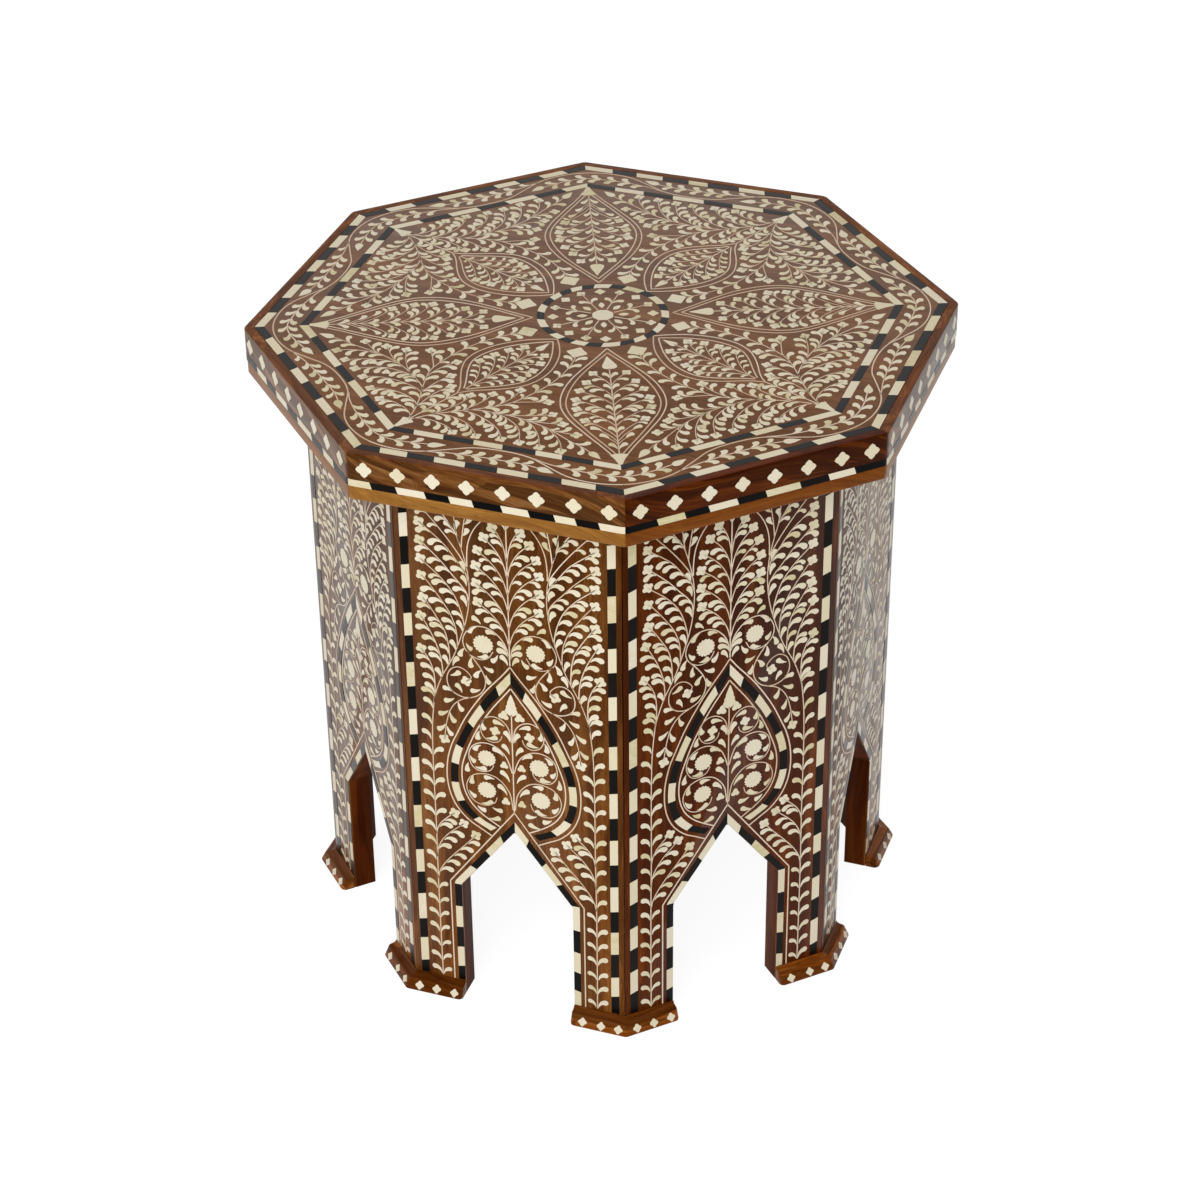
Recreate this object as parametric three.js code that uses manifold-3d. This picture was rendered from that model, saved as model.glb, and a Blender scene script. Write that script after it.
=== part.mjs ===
// An octagonal side table with an inlaid top on an eight-sided base, in millimetres.
// +Z is up and the origin is on the floor, under the middle of the top.
// Flats of the octagon face the X and Y axes, and the front flat faces -Y.
import * as THREE from "three";
import { mergeVertices } from "three/addons/utils/BufferGeometryUtils.js";
import Module from "manifold-3d";

const wasm = await Module();
wasm.setup();

// Driving dimensions of the whole table
const sides = 8;
const tableHeight = 457;
const topAcrossFlats = 450;
const topOverhang = 34.5; // from the panels' faces out to the top's edge
const glueLine = 0.3; // the gap left between any two pieces that meet
const cutOverrun = 5; // how far a cutting shape runs past the face that it cuts

// Top board and its edging
const topThickness = 24;
const lippingThickness = 6.7;
const lippingEdgeRadius = 1;
const apronDepth = 10;
const apronSetback = 0.6;
const apronEdgeRadius = 1;

// Side panels, each with a pointed arch
const panelThickness = 16.5;
const archHalfWidth = 41;
const archSpringHeight = 98;
const archRise = 55.5;

// Foot mouldings, which wrap the outside of each corner
const footHeight = 11;
const footProjection = 11;
const footNoseHeight = 8.2;
const footNoseLean = 3.6; // how far the nose's face leans in, from its foot to its head
const footNoseRadius = 1.5;

// Corner blocks and cleats, hidden inside the base
const blockLeg = 22;
const blockDepth = 10;
const blockLength = 240;
const cleatEndClearance = 5; // from a cleat's ends to the corner blocks
const cleatWidth = 22;
const cleatDepth = 20;

// Countersunk screws, which hold the top board down on the cleats
const screwLength = 36;
const screwShankRadius = 2;
const screwHeadRadius = 4;
const screwHeadDepth = 3;
const screwTipLength = 5;
const screwHeadRecess = 0.5;
const screwHoleClearance = 0.3;
const screwFacets = 16;

// Stringing let into the top: two octagonal bands and a round one
const stringingDepth = 2;
const outerBandWidth = 6;
const innerBandWidth = 5.5;
const bandSpacing = 22;
const centreRingRadius = 45.6;
const centreRingWidth = 6;
const centreRingFacets = 48;

const sideAngle = (2 * Math.PI) / sides;
const halfAngle = sideAngle / 2;
const roundSteps = 4; // facets on each rounded edge
const vertexMergeShare = 1e-6;

// Places that follow from the sizes above
const topApothem = topAcrossFlats / 2;
const boardApothem = topApothem - lippingThickness - glueLine;
const boardUnderside = tableHeight - topThickness;
const baseApothem = topApothem - topOverhang;
const panelInside = baseApothem - panelThickness;
const panelTop = boardUnderside - glueLine;
const cleatOutside = panelInside - glueLine;
const cleatMiddle = cleatOutside - cleatWidth / 2;
const innerBandApothem = boardApothem - outerBandWidth - bandSpacing;

// What each piece is made of
const rosewood = new THREE.MeshStandardMaterial({ color: 0x7a3f1c, roughness: 0.35, metalness: 0 });
const edgeWood = new THREE.MeshStandardMaterial({ color: 0x8a4f24, roughness: 0.35, metalness: 0 });
const apronWood = new THREE.MeshStandardMaterial({ color: 0x97602c, roughness: 0.4, metalness: 0 });
const softwood = new THREE.MeshStandardMaterial({ color: 0xb08a5c, roughness: 0.7, metalness: 0 });
const bone = new THREE.MeshStandardMaterial({ color: 0xe9e0c2, roughness: 0.4, metalness: 0 });
const ebony = new THREE.MeshStandardMaterial({ color: 0x1a1816, roughness: 0.4, metalness: 0 });
const steel = new THREE.MeshStandardMaterial({ color: 0x9a9a98, roughness: 0.35, metalness: 1 });

// A closed surface through equal outlines, one at each station.
// It is capped at both ends, or joined up into a ring when looped.
// Outlines run anticlockwise as seen looking back from the second station to the first.
function sweptBody(outline, stations, looped = false) {
  const rings = stations.map((place) => outline.map(([out, up]) => place(out, up)));
  const count = outline.length;
  const positions = rings.flat().flatMap((point) => point.toArray());
  const faces = [];
  const spans = looped ? rings.length : rings.length - 1;
  for (let span = 0; span < spans; span += 1) {
    const near = span * count;
    const far = ((span + 1) % rings.length) * count;
    for (let i = 0; i < count; i += 1) {
      const next = (i + 1) % count;
      faces.push(near + i, far + next, near + next);
      faces.push(near + i, far + i, far + next);
    }
  }
  if (!looped) {
    const flat = outline.map(([out, up]) => new THREE.Vector2(out, up));
    const last = (rings.length - 1) * count;
    for (const [a, b, c] of THREE.ShapeUtils.triangulateShape(flat, [])) {
      faces.push(a, b, c);
      faces.push(last + c, last + b, last + a);
    }
  }
  const geometry = new THREE.BufferGeometry();
  geometry.setAttribute("position", new THREE.Float32BufferAttribute(positions, 3));
  geometry.setIndex(faces);
  return geometry;
}

// A flat outline raised into a prism, with its foot at the height given.
function prism(points, foot, height) {
  const outline = new THREE.Shape(points.map(([x, y]) => new THREE.Vector2(x, y)));
  const body = new THREE.ExtrudeGeometry(outline, { depth: height, bevelEnabled: false });
  return body.translate(0, 0, foot);
}

// A regular polygon's corners, with a flat facing -Y.
function polygon(count, apothem) {
  const radius = apothem / Math.cos(Math.PI / count);
  const turn = -Math.PI / 2 + Math.PI / count;
  return Array.from({ length: count }, (_, i) => {
    const angle = turn + (i * 2 * Math.PI) / count;
    return [radius * Math.cos(angle), radius * Math.sin(angle)];
  });
}

// Points on a quarter circle, from one angle to another in quarter turns.
function roundedCorner(out, up, radius, fromQuarter, toQuarter) {
  return Array.from({ length: roundSteps + 1 }, (_, i) => {
    const quarter = fromQuarter + ((toQuarter - fromQuarter) * i) / roundSteps;
    const angle = (quarter * Math.PI) / 2;
    return [out + radius * Math.cos(angle), up + radius * Math.sin(angle)];
  });
}

// A rectangle in a piece's section, from the axis outwards and upwards.
function rectangle(inside, outside, foot, head) {
  return [
    [inside, foot],
    [outside, foot],
    [outside, head],
    [inside, head],
  ];
}

// A closed geometry as a solid that can be cut.
function solidOf(geometry) {
  const bare = new THREE.BufferGeometry();
  bare.setAttribute("position", geometry.getAttribute("position"));
  bare.setIndex(geometry.getIndex());
  const merged = mergeVertices(bare, vertexMergeShare * tableHeight);
  return new wasm.Manifold(
    new wasm.Mesh({
      numProp: 3,
      vertProperties: merged.getAttribute("position").array,
      triVerts: new Uint32Array(merged.getIndex().array),
    }),
  );
}

// One geometry with others cut out of it.
function cut(body, cutters) {
  const left = cutters.reduce((rest, cutter) => rest.subtract(solidOf(cutter)), solidOf(body));
  const { vertProperties, triVerts } = left.getMesh();
  const geometry = new THREE.BufferGeometry();
  geometry.setAttribute("position", new THREE.BufferAttribute(vertProperties, 3));
  geometry.setIndex(new THREE.BufferAttribute(triVerts, 1));
  return geometry;
}

function piece(name, geometry, material) {
  geometry.computeVertexNormals();
  const mesh = new THREE.Mesh(geometry, material);
  mesh.name = name;
  return mesh;
}

// A straight member along the front side, mitred against its neighbours at both ends.
// Its section is given from the table's axis outwards.
function mitredMember(section) {
  const setback = glueLine / 2 / Math.cos(halfAngle);
  const end = (way) => (out, up) =>
    new THREE.Vector3(way * (out * Math.tan(halfAngle) - setback), -out, up);
  return sweptBody(section, [end(-1), end(1)]);
}

// A member that runs all round the table, with one station at each corner.
function octagonalRing(section) {
  const corner = (_, i) => (out, up) => {
    const radius = out / Math.cos(halfAngle);
    const angle = (i + 0.5) * sideAngle - Math.PI / 2;
    return new THREE.Vector3(radius * Math.cos(angle), radius * Math.sin(angle), up);
  };
  return sweptBody(section, Array.from({ length: sides }, corner), true);
}

// The round band's section, turned about the table's axis and stood up along +Z.
function roundRing(section) {
  const profile = [...section, section[0]].map(([out, up]) => new THREE.Vector2(out, up));
  return new THREE.LatheGeometry(profile, centreRingFacets).rotateX(Math.PI / 2);
}

// The stringing lies flush with the top, in grooves a glue line wider and deeper.
function bandSection(outside, width) {
  return rectangle(outside - width, outside, tableHeight - stringingDepth, tableHeight);
}

function grooveSection(outside, width, outerRoom = glueLine) {
  return rectangle(
    outside - width - glueLine,
    outside + outerRoom,
    tableHeight - stringingDepth - glueLine,
    tableHeight + cutOverrun,
  );
}

// A screw's outline from its head up to its point, grown on all sides by the room given.
function screwProfile(room) {
  const foot = boardUnderside - glueLine - cleatDepth + screwHeadRecess;
  const head = screwHeadRadius + room;
  const shank = screwShankRadius + room;
  const tip = foot + screwLength + room;
  return [
    [0, foot - room],
    [head, foot - room],
    [shank, foot + screwHeadDepth],
    [shank, tip - screwTipLength],
    [0, tip],
  ];
}

// A lathe turns its profile about +Y, so the body is stood up along +Z and moved to its cleat.
function screwBody(profile) {
  const points = profile.map(([radius, up]) => new THREE.Vector2(radius, up));
  const body = new THREE.LatheGeometry(points, screwFacets).rotateX(Math.PI / 2);
  return body.translate(0, -cleatMiddle, 0);
}

// The hole takes the screw with clearance, and its countersink opens right through the cleat's foot.
function screwHole() {
  const profile = screwProfile(screwHoleClearance);
  const [, [headRadius, headFoot]] = profile;
  const mouth = headFoot - screwHeadRecess - cutOverrun;
  return screwBody([[0, mouth], [headRadius, mouth], ...profile.slice(1)]);
}

// The same pieces on all the sides, numbered anticlockwise from the front as seen from above.
function onEverySide(makePieces) {
  return Array.from({ length: sides }, (_, i) => {
    const side = new THREE.Group();
    side.rotation.z = i * sideAngle;
    side.add(...makePieces(i + 1));
    return side;
  });
}

// As onEverySide, but turned so that a corner of the octagon points to -Y.
function onEveryCorner(makePieces) {
  const corners = onEverySide(makePieces);
  corners.forEach((corner) => {
    corner.rotation.z += halfAngle;
  });
  return corners;
}

function topBoard() {
  const board = prism(polygon(sides, boardApothem), boardUnderside, topThickness);
  const grooves = [
    octagonalRing(grooveSection(boardApothem, outerBandWidth, cutOverrun)),
    octagonalRing(grooveSection(innerBandApothem, innerBandWidth)),
    roundRing(grooveSection(centreRingRadius, centreRingWidth)),
  ];
  const holes = Array.from({ length: sides }, (_, i) => screwHole().rotateZ(i * sideAngle));
  return piece("top_board", cut(board, [...grooves, ...holes]), rosewood);
}

function topStringing() {
  return [
    piece("outer_top_stringing", octagonalRing(bandSection(boardApothem, outerBandWidth)), bone),
    piece("inner_top_stringing", octagonalRing(bandSection(innerBandApothem, innerBandWidth)), bone),
    piece("centre_ring_stringing", roundRing(bandSection(centreRingRadius, centreRingWidth)), ebony),
  ];
}

// The lipping stands the full depth of the board, with its upper outer edge softened.
function edgeLipping(number) {
  const inside = topApothem - lippingThickness;
  const radius = lippingEdgeRadius;
  const section = [
    [inside, boardUnderside],
    [topApothem, boardUnderside],
    ...roundedCorner(topApothem - radius, tableHeight - radius, radius, 0, 1),
    [inside, tableHeight],
  ];
  return piece(`edge_lipping_${number}`, mitredMember(section), edgeWood);
}

// The apron lies under the overhang, from the panels out to just short of the lipping's face.
function apronMoulding(number) {
  const inside = baseApothem + glueLine;
  const outside = topApothem - apronSetback;
  const foot = panelTop - apronDepth;
  const radius = apronEdgeRadius;
  const section = [
    [inside, foot],
    ...roundedCorner(outside - radius, foot + radius, radius, -1, 0),
    [outside, panelTop],
    [inside, panelTop],
  ];
  return piece(`apron_moulding_${number}`, mitredMember(section), apronWood);
}

function sidePanel(number) {
  const blank = mitredMember(rectangle(panelInside, baseApothem, 0, panelTop));
  const arch = prism(
    [
      [-archHalfWidth, -cutOverrun],
      [archHalfWidth, -cutOverrun],
      [archHalfWidth, archSpringHeight],
      [0, archSpringHeight + archRise],
      [-archHalfWidth, archSpringHeight],
    ],
    panelInside - cutOverrun,
    panelThickness + 2 * cutOverrun,
  ).rotateX(Math.PI / 2);
  return piece(`side_panel_${number}`, cut(blank, [arch]), rosewood);
}

// A cleat is glued inside the head of each panel, and a screw goes up through it into the board.
function topCleat(number) {
  const right = cleatOutside * Math.tan(halfAngle) - blockLeg - cleatEndClearance;
  const left = -right;
  const outline = [
    [left, -cleatOutside],
    [right, -cleatOutside],
    [right, cleatWidth - cleatOutside],
    [left, cleatWidth - cleatOutside],
  ];
  const block = prism(outline, panelTop - cleatDepth, cleatDepth);
  return piece(`top_cleat_${number}`, cut(block, [screwHole()]), softwood);
}

function topScrew(number) {
  return piece(`top_screw_${number}`, screwBody(screwProfile(0)), steel);
}

// A place beside the corner that points to -Y: how far out from the table's axis,
// and how far along the panel on the left (-1) or right (1) from that panel's middle.
function besideCorner(way, out, along) {
  const [across, back] = [Math.sin(halfAngle), Math.cos(halfAngle)];
  return [way * (out * across - along * back), -out * back - along * across];
}

// One L-shaped moulding wraps each corner, cut square where the arch begins.
function footMoulding(number) {
  const inside = baseApothem + glueLine;
  const outside = baseApothem + footProjection;
  const radius = footNoseRadius;
  const section = [
    [inside, 0],
    ...roundedCorner(outside - radius, radius, radius, -1, 0),
    [outside - footNoseLean, footNoseHeight],
    [inside, footHeight],
  ];
  const atArch = (way) => (out, up) => {
    return new THREE.Vector3(...besideCorner(way, out, archHalfWidth), up);
  };
  const atCorner = (out, up) => new THREE.Vector3(0, -out / Math.cos(halfAngle), up);
  const stations = [atArch(-1), atCorner, atArch(1)];
  return piece(`foot_moulding_${number}`, sweptBody(section, stations), edgeWood);
}

// A glue block stiffens each mitre from inside, between the arches and the top.
function cornerBlock(number) {
  const face = panelInside - glueLine;
  const corner = face * Math.tan(halfAngle);
  const outline = [
    besideCorner(1, face, corner),
    besideCorner(1, face, corner - blockLeg),
    besideCorner(1, face - blockDepth, corner - blockLeg),
    besideCorner(-1, face - blockDepth, corner - blockLeg),
    besideCorner(-1, face, corner - blockLeg),
  ];
  const block = prism(outline, panelTop - blockLength, blockLength);
  return piece(`corner_block_${number}`, block, softwood);
}

const table = new THREE.Group();

const top = new THREE.Group();
top.add(topBoard());
top.add(...topStringing());
top.add(...onEverySide((number) => [edgeLipping(number), apronMoulding(number)]));

const base = new THREE.Group();
base.add(...onEverySide((number) => [sidePanel(number), topCleat(number), topScrew(number)]));
base.add(...onEveryCorner((number) => [footMoulding(number), cornerBlock(number)]));

table.add(top, base);

export default table;
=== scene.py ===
import math

import bpy
import numpy as np
from mathutils import Matrix


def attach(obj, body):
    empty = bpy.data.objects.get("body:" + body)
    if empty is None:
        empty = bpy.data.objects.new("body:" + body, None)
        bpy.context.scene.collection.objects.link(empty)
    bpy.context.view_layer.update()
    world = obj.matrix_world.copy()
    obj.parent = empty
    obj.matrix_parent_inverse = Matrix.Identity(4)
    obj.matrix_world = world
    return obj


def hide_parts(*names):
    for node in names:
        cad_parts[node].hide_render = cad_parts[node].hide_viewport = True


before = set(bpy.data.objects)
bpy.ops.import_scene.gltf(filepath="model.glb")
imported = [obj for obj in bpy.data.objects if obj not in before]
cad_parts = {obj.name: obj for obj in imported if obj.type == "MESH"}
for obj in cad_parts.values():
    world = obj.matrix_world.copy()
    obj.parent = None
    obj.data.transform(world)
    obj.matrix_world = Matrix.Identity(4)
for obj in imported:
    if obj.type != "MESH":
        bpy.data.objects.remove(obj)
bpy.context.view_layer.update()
scene = bpy.context.scene
chance = np.random.default_rng(457)

# The table's sizes, in millimetres, as in the CAD model
MM = 0.001
SKY = np.array((0, 0, 1.0))
SIDES = 8
SIDE_TURN = 45.0  # degrees from one side to the next
FIRST_CORNER = 67.5  # degrees from the first corner to the table's right
HALF_ANGLE = math.pi / SIDES
TABLE_HEIGHT = 457.0
TOP_APOTHEM = 225.0
BOARD_APOTHEM = 218.0
BOARD_UNDERSIDE = 433.0
LIPPING_INSIDE = 218.3
APRON_APOTHEM = 224.4
APRON_BOTTOM, APRON_TOP = 422.7, 432.7
BASE_APOTHEM = 190.5
PANEL_THICKNESS = 16.5
PANEL_TOP = 432.7
ARCH_HALF_WIDTH, ARCH_SPRING, ARCH_APEX = 41.0, 98.0, 153.5
ARCH_TIP, ARCH_TIP_DROP = 0.8, 1.08  # the arch's point is blunt: half its width, and its distance to the apex
FOOT_INSIDE, FOOT_TOP = 190.8, 11.0
NOSE_MIDDLE = np.array((199.6, 4.75))  # apothem and height of the middle of a foot's leaning face
NOSE_LEAN = math.atan2(3.6, 6.7)
NOSE_REACH = 4.1  # from that middle up to the hollow over it
FOOT_CORNER_CENTRE, FOOT_CORNER_RADIUS = 197.0, 4.4
FOOT_END_RADIUS = 3.0
JOINT = 0.15  # half of a glue line
# The inlay stands level with the CAD faces, and the wood round it has worn a hair lower, on the rim least
WOOD_DROP, RIM_DROP = 0.12, 0.08
INLAY_DEPTH = 0.9
FASCIA_INLAY_DEPTH = 3.0  # of the thicker slips at the foot of the lippings
# The rounded plan corners of the lippings and aprons: the apothem that they turn about, and their radius
CORNER_CENTRE, CORNER_RADIUS = 218.0, 7.0
CORNER_START = CORNER_CENTRE * math.tan(HALF_ANGLE)  # from a side's middle to where it rounds the corner
CORNER_END = CORNER_START + CORNER_RADIUS * HALF_ANGLE  # and, round half of the arc, to its mitre
ARC_POINTS = 5  # points on a rounded corner of a section
SHARP_ANGLE = 35.0  # degrees between two faces that meet at a sharp edge

# Sizes of the inlay, in millimetres
STEM_HALF_WIDTH = 0.42
LINE_HALF_WIDTH = 0.45
LEAF_REACH = np.array((5.7, 7.4))  # from a leaf's tail to its head: along the stem, and away from it
LEAF_BULGE = np.array((6.4, 1.1))  # and to the point toward which it bows
SPRAY_LEAF = dict(reach=(4.9, 8.1), bulge=(6.6, 0.8))  # the drooping leaves of the long sprays
STAR_SIZE = 4.2
LEAF_START = 0.75  # a leaf's tail stands off the middle of its stem by this much
SAW_GAP = 0.04  # each slip of stringing stops short of its joint by this much
CURVE_POINTS = 12  # on each stretch of a curve, before it is walked at equal steps


def smooth_path(points, step=1.0):
    """Catmull-Rom curve through the points: each stretch is a cubic whose slope at a point is half the way
    between that point's neighbours. The curve is then walked at equal steps."""
    p = np.asarray(points, float)
    ends = np.vstack((2 * p[0] - p[1], p, 2 * p[-1] - p[-2]))
    a, b, c, d = ends[:-3, None], ends[1:-2, None], ends[2:-1, None], ends[3:, None]
    t = np.linspace(0, 1, CURVE_POINTS, endpoint=False)[None, :, None]
    curve = 0.5 * (2 * b + (c - a) * t + (2 * a - 5 * b + 4 * c - d) * t**2 + (3 * b - a - 3 * c + d) * t**3)
    return even_path(np.vstack((curve.reshape(-1, 2), p[-1:])), step)


def even_path(points, step=1.0):
    """The same broken line with its points at equal distances, as near to the step as they go."""
    p = np.asarray(points, float)
    run = distances(p)
    return points_at(np.linspace(0, run[-1], max(2, int(round(run[-1] / step)) + 1)), run, p)


def distances(path):
    """How far along a broken line each of its points lies."""
    return np.concatenate(([0], np.cumsum(np.hypot(*np.diff(path, axis=0).T))))


def points_at(places, marks, path):
    """Points of a broken line at some places, where its own points lie at the marks."""
    return np.column_stack([np.interp(places, marks, path[:, k]) for k in range(2)])


def bowed(share, start, bend, end):
    """The quadratic curve that leaves the start toward the bend, and comes from there to the end."""
    return (1 - share) ** 2 * start + 2 * share * (1 - share) * bend + share**2 * end


def quarter_turn(vectors):
    return np.stack((-vectors[..., 1], vectors[..., 0]), -1)


def headings(path):
    """Unit vectors along a path, and those a quarter turn to their left."""
    along = np.gradient(path, axis=-2)
    along /= np.linalg.norm(along, axis=-1, keepdims=True)
    return along, quarter_turn(along)


class Garden:
    """A field of inlay: stems, leaves and flowers that keep clear of one another."""

    GAP = 0.4
    # The share of its size that a flower takes, as its rim is not round
    STAR_SHARE, SPROUT_SHARE, RHOMB_SHARE = 0.86, 0.85, 0.9
    DISCS = ((0.45, 1.2), (0.68, 1.6), (0.92, 1.95))  # share of a leaf's length, and its half width there
    NEAR = 18  # nothing that is further off than this can touch a leaf

    def __init__(self):
        self.stems, self.stars, self.rosettes, self.leaves, self.sprouts, self.buds = [], [], [], [], [], []
        self.rhombs, self.fine_lines = [], []
        self.taken = np.zeros((0, 3))  # discs that are taken: centre and radius

    def _take(self, centres, radius):
        centres = np.atleast_2d(centres)
        self.taken = np.vstack((self.taken, np.column_stack((centres, np.full(len(centres), radius)))))

    def wall(self, points, radius=0.4):
        self._take(even_path(points, 0.8), radius)

    def stem(self, points, star=None, sides="both", pitch=9.5, first=5.0, last=3.0, size=1.0, taper=0.7,
             together=False, smooth=True, shared=False, reach=LEAF_REACH, bulge=LEAF_BULGE,
             star_size=STAR_SIZE, bare=(), thick=1.0):
        """A stem with leaves at a pitch, from one distance off its start to another off its end, on one
        side or both. A shared stem lies on the axis that the two halves of a pattern share."""
        if star is not None:
            points = tuple(points) + (star,)
            last += STAR_SIZE
        path = smooth_path(points, 0.9) if smooth else even_path(points, 0.9)
        self.stems.append(dict(path=path, sides=sides, pitch=pitch, first=first, last=last, size=size,
                               taper=taper, together=together, shared=shared, bare=bare, thick=thick,
                               reach=np.asarray(reach, float), bulge=np.asarray(bulge, float)))
        self._take(path, STEM_HALF_WIDTH)
        if star is not None:
            self.star(star, math.atan2(*(path[-1] - path[-3])[::-1]) + 0.3, star_size)

    def star(self, centre, turn=0.0, size=STAR_SIZE):
        self.stars.append((*centre, turn, size))
        self._take(centre, size * self.STAR_SHARE)

    def rosette(self, x, y, size):
        self.rosettes.append((x, y, 0, size))
        self._take((x, y), size)

    def sprout(self, x, y, turn, size=3.4):
        self.sprouts.append((x, y, turn, size))
        self._take((x, y), size * self.SPROUT_SHARE)

    def rhomb(self, x, y, turn, size):
        self.rhombs.append((x, y, turn, size))
        self._take((x, y), size * self.RHOMB_SHARE)

    def fine_line(self, points, smooth=True):
        path = smooth_path(points, 1.2) if smooth else even_path(points, 1.2)
        self.fine_lines.append(path)
        self._take(path, LINE_HALF_WIDTH)

    def bud(self, tail, tip, half_width, kind="bud", shared=False):
        self.buds.append((*tail, *tip, half_width, kind, shared))
        for share in (0.3, 0.6):
            self._take(np.asarray(tail) + share * (np.asarray(tip) - tail), half_width * 0.85)

    def leaf(self, tail, head, bend=0.3, size=1.0):
        """A leaf given from its tail to its head, bulging to the left of that line by the bend."""
        tail, head = np.asarray(tail, float), np.asarray(head, float)
        self._keep(tail, (tail + head) / 2 + bend * quarter_turn(head - tail), head, size)

    def _keep(self, tail, middle, head, size):
        self.leaves.append(np.concatenate((tail, middle, head, [size])))
        for share, radius in self.DISCS:
            self._take(bowed(share, tail, middle, head), radius * size)

    def grow(self):
        """Leaves at regular steps along each stem, first on one side and then on the other. Each takes the
        largest of a few sizes and turns at which it touches nothing, and is left out where none does."""
        sizes, swings = (1.0, 0.93, 0.86, 0.78, 0.7, 0.62), (0, 10, -10, 20, -20, 32)
        tries = np.array([(s, w, d) for s in sizes for w in swings for d in (0, 1.2, -1.2, 2.4, -2.4)])
        cost = (1 - tries[:, 0]) * 4.5 + abs(tries[:, 1]) / 40 + abs(tries[:, 2]) / 5
        tries = tries[np.argsort(cost, kind="stable")]
        for stem in self.stems:
            path = stem["path"]
            along, left = headings(path)
            step = np.hypot(*(path[1] - path[0]))
            end = step * (len(path) - 1) - stem["last"]
            sides = {"both": (1, -1), "left": (1,), "right": (-1,), "none": ()}[stem["sides"]]
            for rank, side in enumerate(sides):
                offset = 0 if stem["together"] else rank * stem["pitch"] / 2
                for place in np.arange(stem["first"] + offset, end, stem["pitch"]):
                    if not any(way == side and low < place < high for way, low, high in stem["bare"]):
                        self._grow_one(stem, along, left, place, step, side, tries)

    def _grow_one(self, stem, along, left, place, step, side, tries):
        path = stem["path"]
        spots = np.clip(np.round((place + tries[:, 2]) / step).astype(int), 0, len(path) - 1)
        turn = np.radians(tries[:, 1]) * side
        cos, sin = np.cos(turn)[:, None], np.sin(turn)[:, None]
        forward, sideways = (v * cos + quarter_turn(v) * sin for v in (along[spots], left[spots] * side))
        scale = (stem["size"] * tries[:, 0])[:, None]
        tail = path[spots] + LEAF_START * left[spots] * side
        middle, head = (tail + scale * (forward * way[0] + sideways * way[1])
                        for way in (stem["bulge"], stem["reach"]))
        near = self.taken[np.hypot(*(self.taken[:, :2] - path[spots[0]]).T) < self.NEAR]
        free = np.ones(len(tries), bool)
        for share, radius in self.DISCS:
            spot = bowed(share, tail, middle, head)
            away = np.hypot(spot[:, None, 0] - near[None, :, 0], spot[:, None, 1] - near[None, :, 1])
            free &= (away - near[None, :, 2] - radius * scale > self.GAP).all(1)
        if free.any():
            pick = int(np.argmax(free))
            self._keep(tail[pick], middle[pick], head[pick], float(scale[pick, 0]))


# The panel's pattern, on its right half: distance from the middle, and height from the floor
MAIN_STEM = ((58.4, 12), (58.6, 60), (58.6, 100), (58.2, 146), (58.3, 180), (58.2, 205), (57.6, 229),
             (56.1, 246), (54.6, 256), (51.9, 265), (48.4, 274), (44.4, 282), (40.4, 290), (36.6, 300),
             (33.4, 310), (30.4, 320), (27.9, 333), (26.9, 347), (27.5, 358), (29.2, 368), (31.7, 378),
             (34.1, 387), (35.4, 397), (36.4, 408), (37, 420))
OUTER_SPRAYS = (
    (((55.8, 250), (54.6, 258), (54.3, 268), (55.2, 277), (58.0, 285), (60.6, 289)), (63.2, 292.5)),
    (((48.2, 274.5), (48.4, 281), (49.6, 290), (53.0, 301), (57.4, 310.5), (59.8, 315)), (62.2, 318.8)),
    (((42.6, 286), (42.8, 291), (43.4, 300), (45.6, 310), (50.6, 319.5), (56.2, 328.5)), (60.4, 333.6)),
    (((36.9, 299.2), (36.8, 304), (37.8, 314.4), (41.7, 325.6), (49.0, 337), (56.6, 347.2)), (60.4, 351)),
    (((31.6, 315.6), (31.8, 320), (34.0, 330), (38.4, 341), (46.6, 351.6), (56.4, 360.2)), (60.6, 364)),
    (((27.7, 336), (28.6, 342.4), (32.0, 348), (38.4, 355.4), (46.0, 364.4), (56.4, 374.4)), (60.6, 378.2)),
    (((27.1, 352), (29.6, 359.5), (36.0, 368.4), (43.9, 378.6), (56.4, 389)), (60.6, 392.4)),
    (((28.2, 362.6), (31.0, 368.4), (37.2, 378), (45.6, 389), (55.4, 400.4)), (60.4, 405.6)),
    (((32.6, 381), (34.6, 387), (39.6, 395.4), (46.0, 404), (54.2, 413.2)), (57.8, 417)),
)
INNER_SPRAYS = ((((27.8, 364), (27.8, 371), (27.0, 380), (25.0, 387.5), (21.6, 394.5), (17.6, 400),
                  (13.0, 406)), (10.4, 410.5)),
                (((31.4, 377), (30.8, 384), (29.9, 391), (28.8, 398), (27.4, 405), (25.6, 411)),
                 (24.4, 415.4)))
CENTRE_PLUME = ((308, 21.3, 338), (321.5, 21.9, 352.6), (335, 21.9, 366.2), (348, 20.3, 378.2),
                (361, 15.8, 388.6), (373.5, 9.6, 397))
UPPER_SPIRAL = ((0.6, 297), (2.2, 305.6), (6.1, 312.2), (11.7, 317.0), (18.4, 318.9), (26.4, 317),
                (31.4, 310.6), (32.9, 304), (30.8, 297.6), (26.1, 293.7), (20.6, 292.4), (15.2, 294.6),
                (11.7, 300.4))
TRAILING_VINE = ((30.2, 297), (25.2, 291.2), (20.4, 284.2), (17.8, 277), (18.8, 269.4), (23.2, 263),
                 (29.4, 259.6), (35.4, 256.9), (40.6, 252.2), (44.4, 245.4), (46.8, 236.7), (48.2, 228))
STAR_SPIRAL = ((29, 259.7), (34.4, 259.2), (40.2, 261.2), (44.2, 265.6), (45.4, 272), (43.8, 278),
               (40.6, 281.6), (36.6, 283), (32.6, 281.8), (29.4, 279), (28, 275.8))
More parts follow.
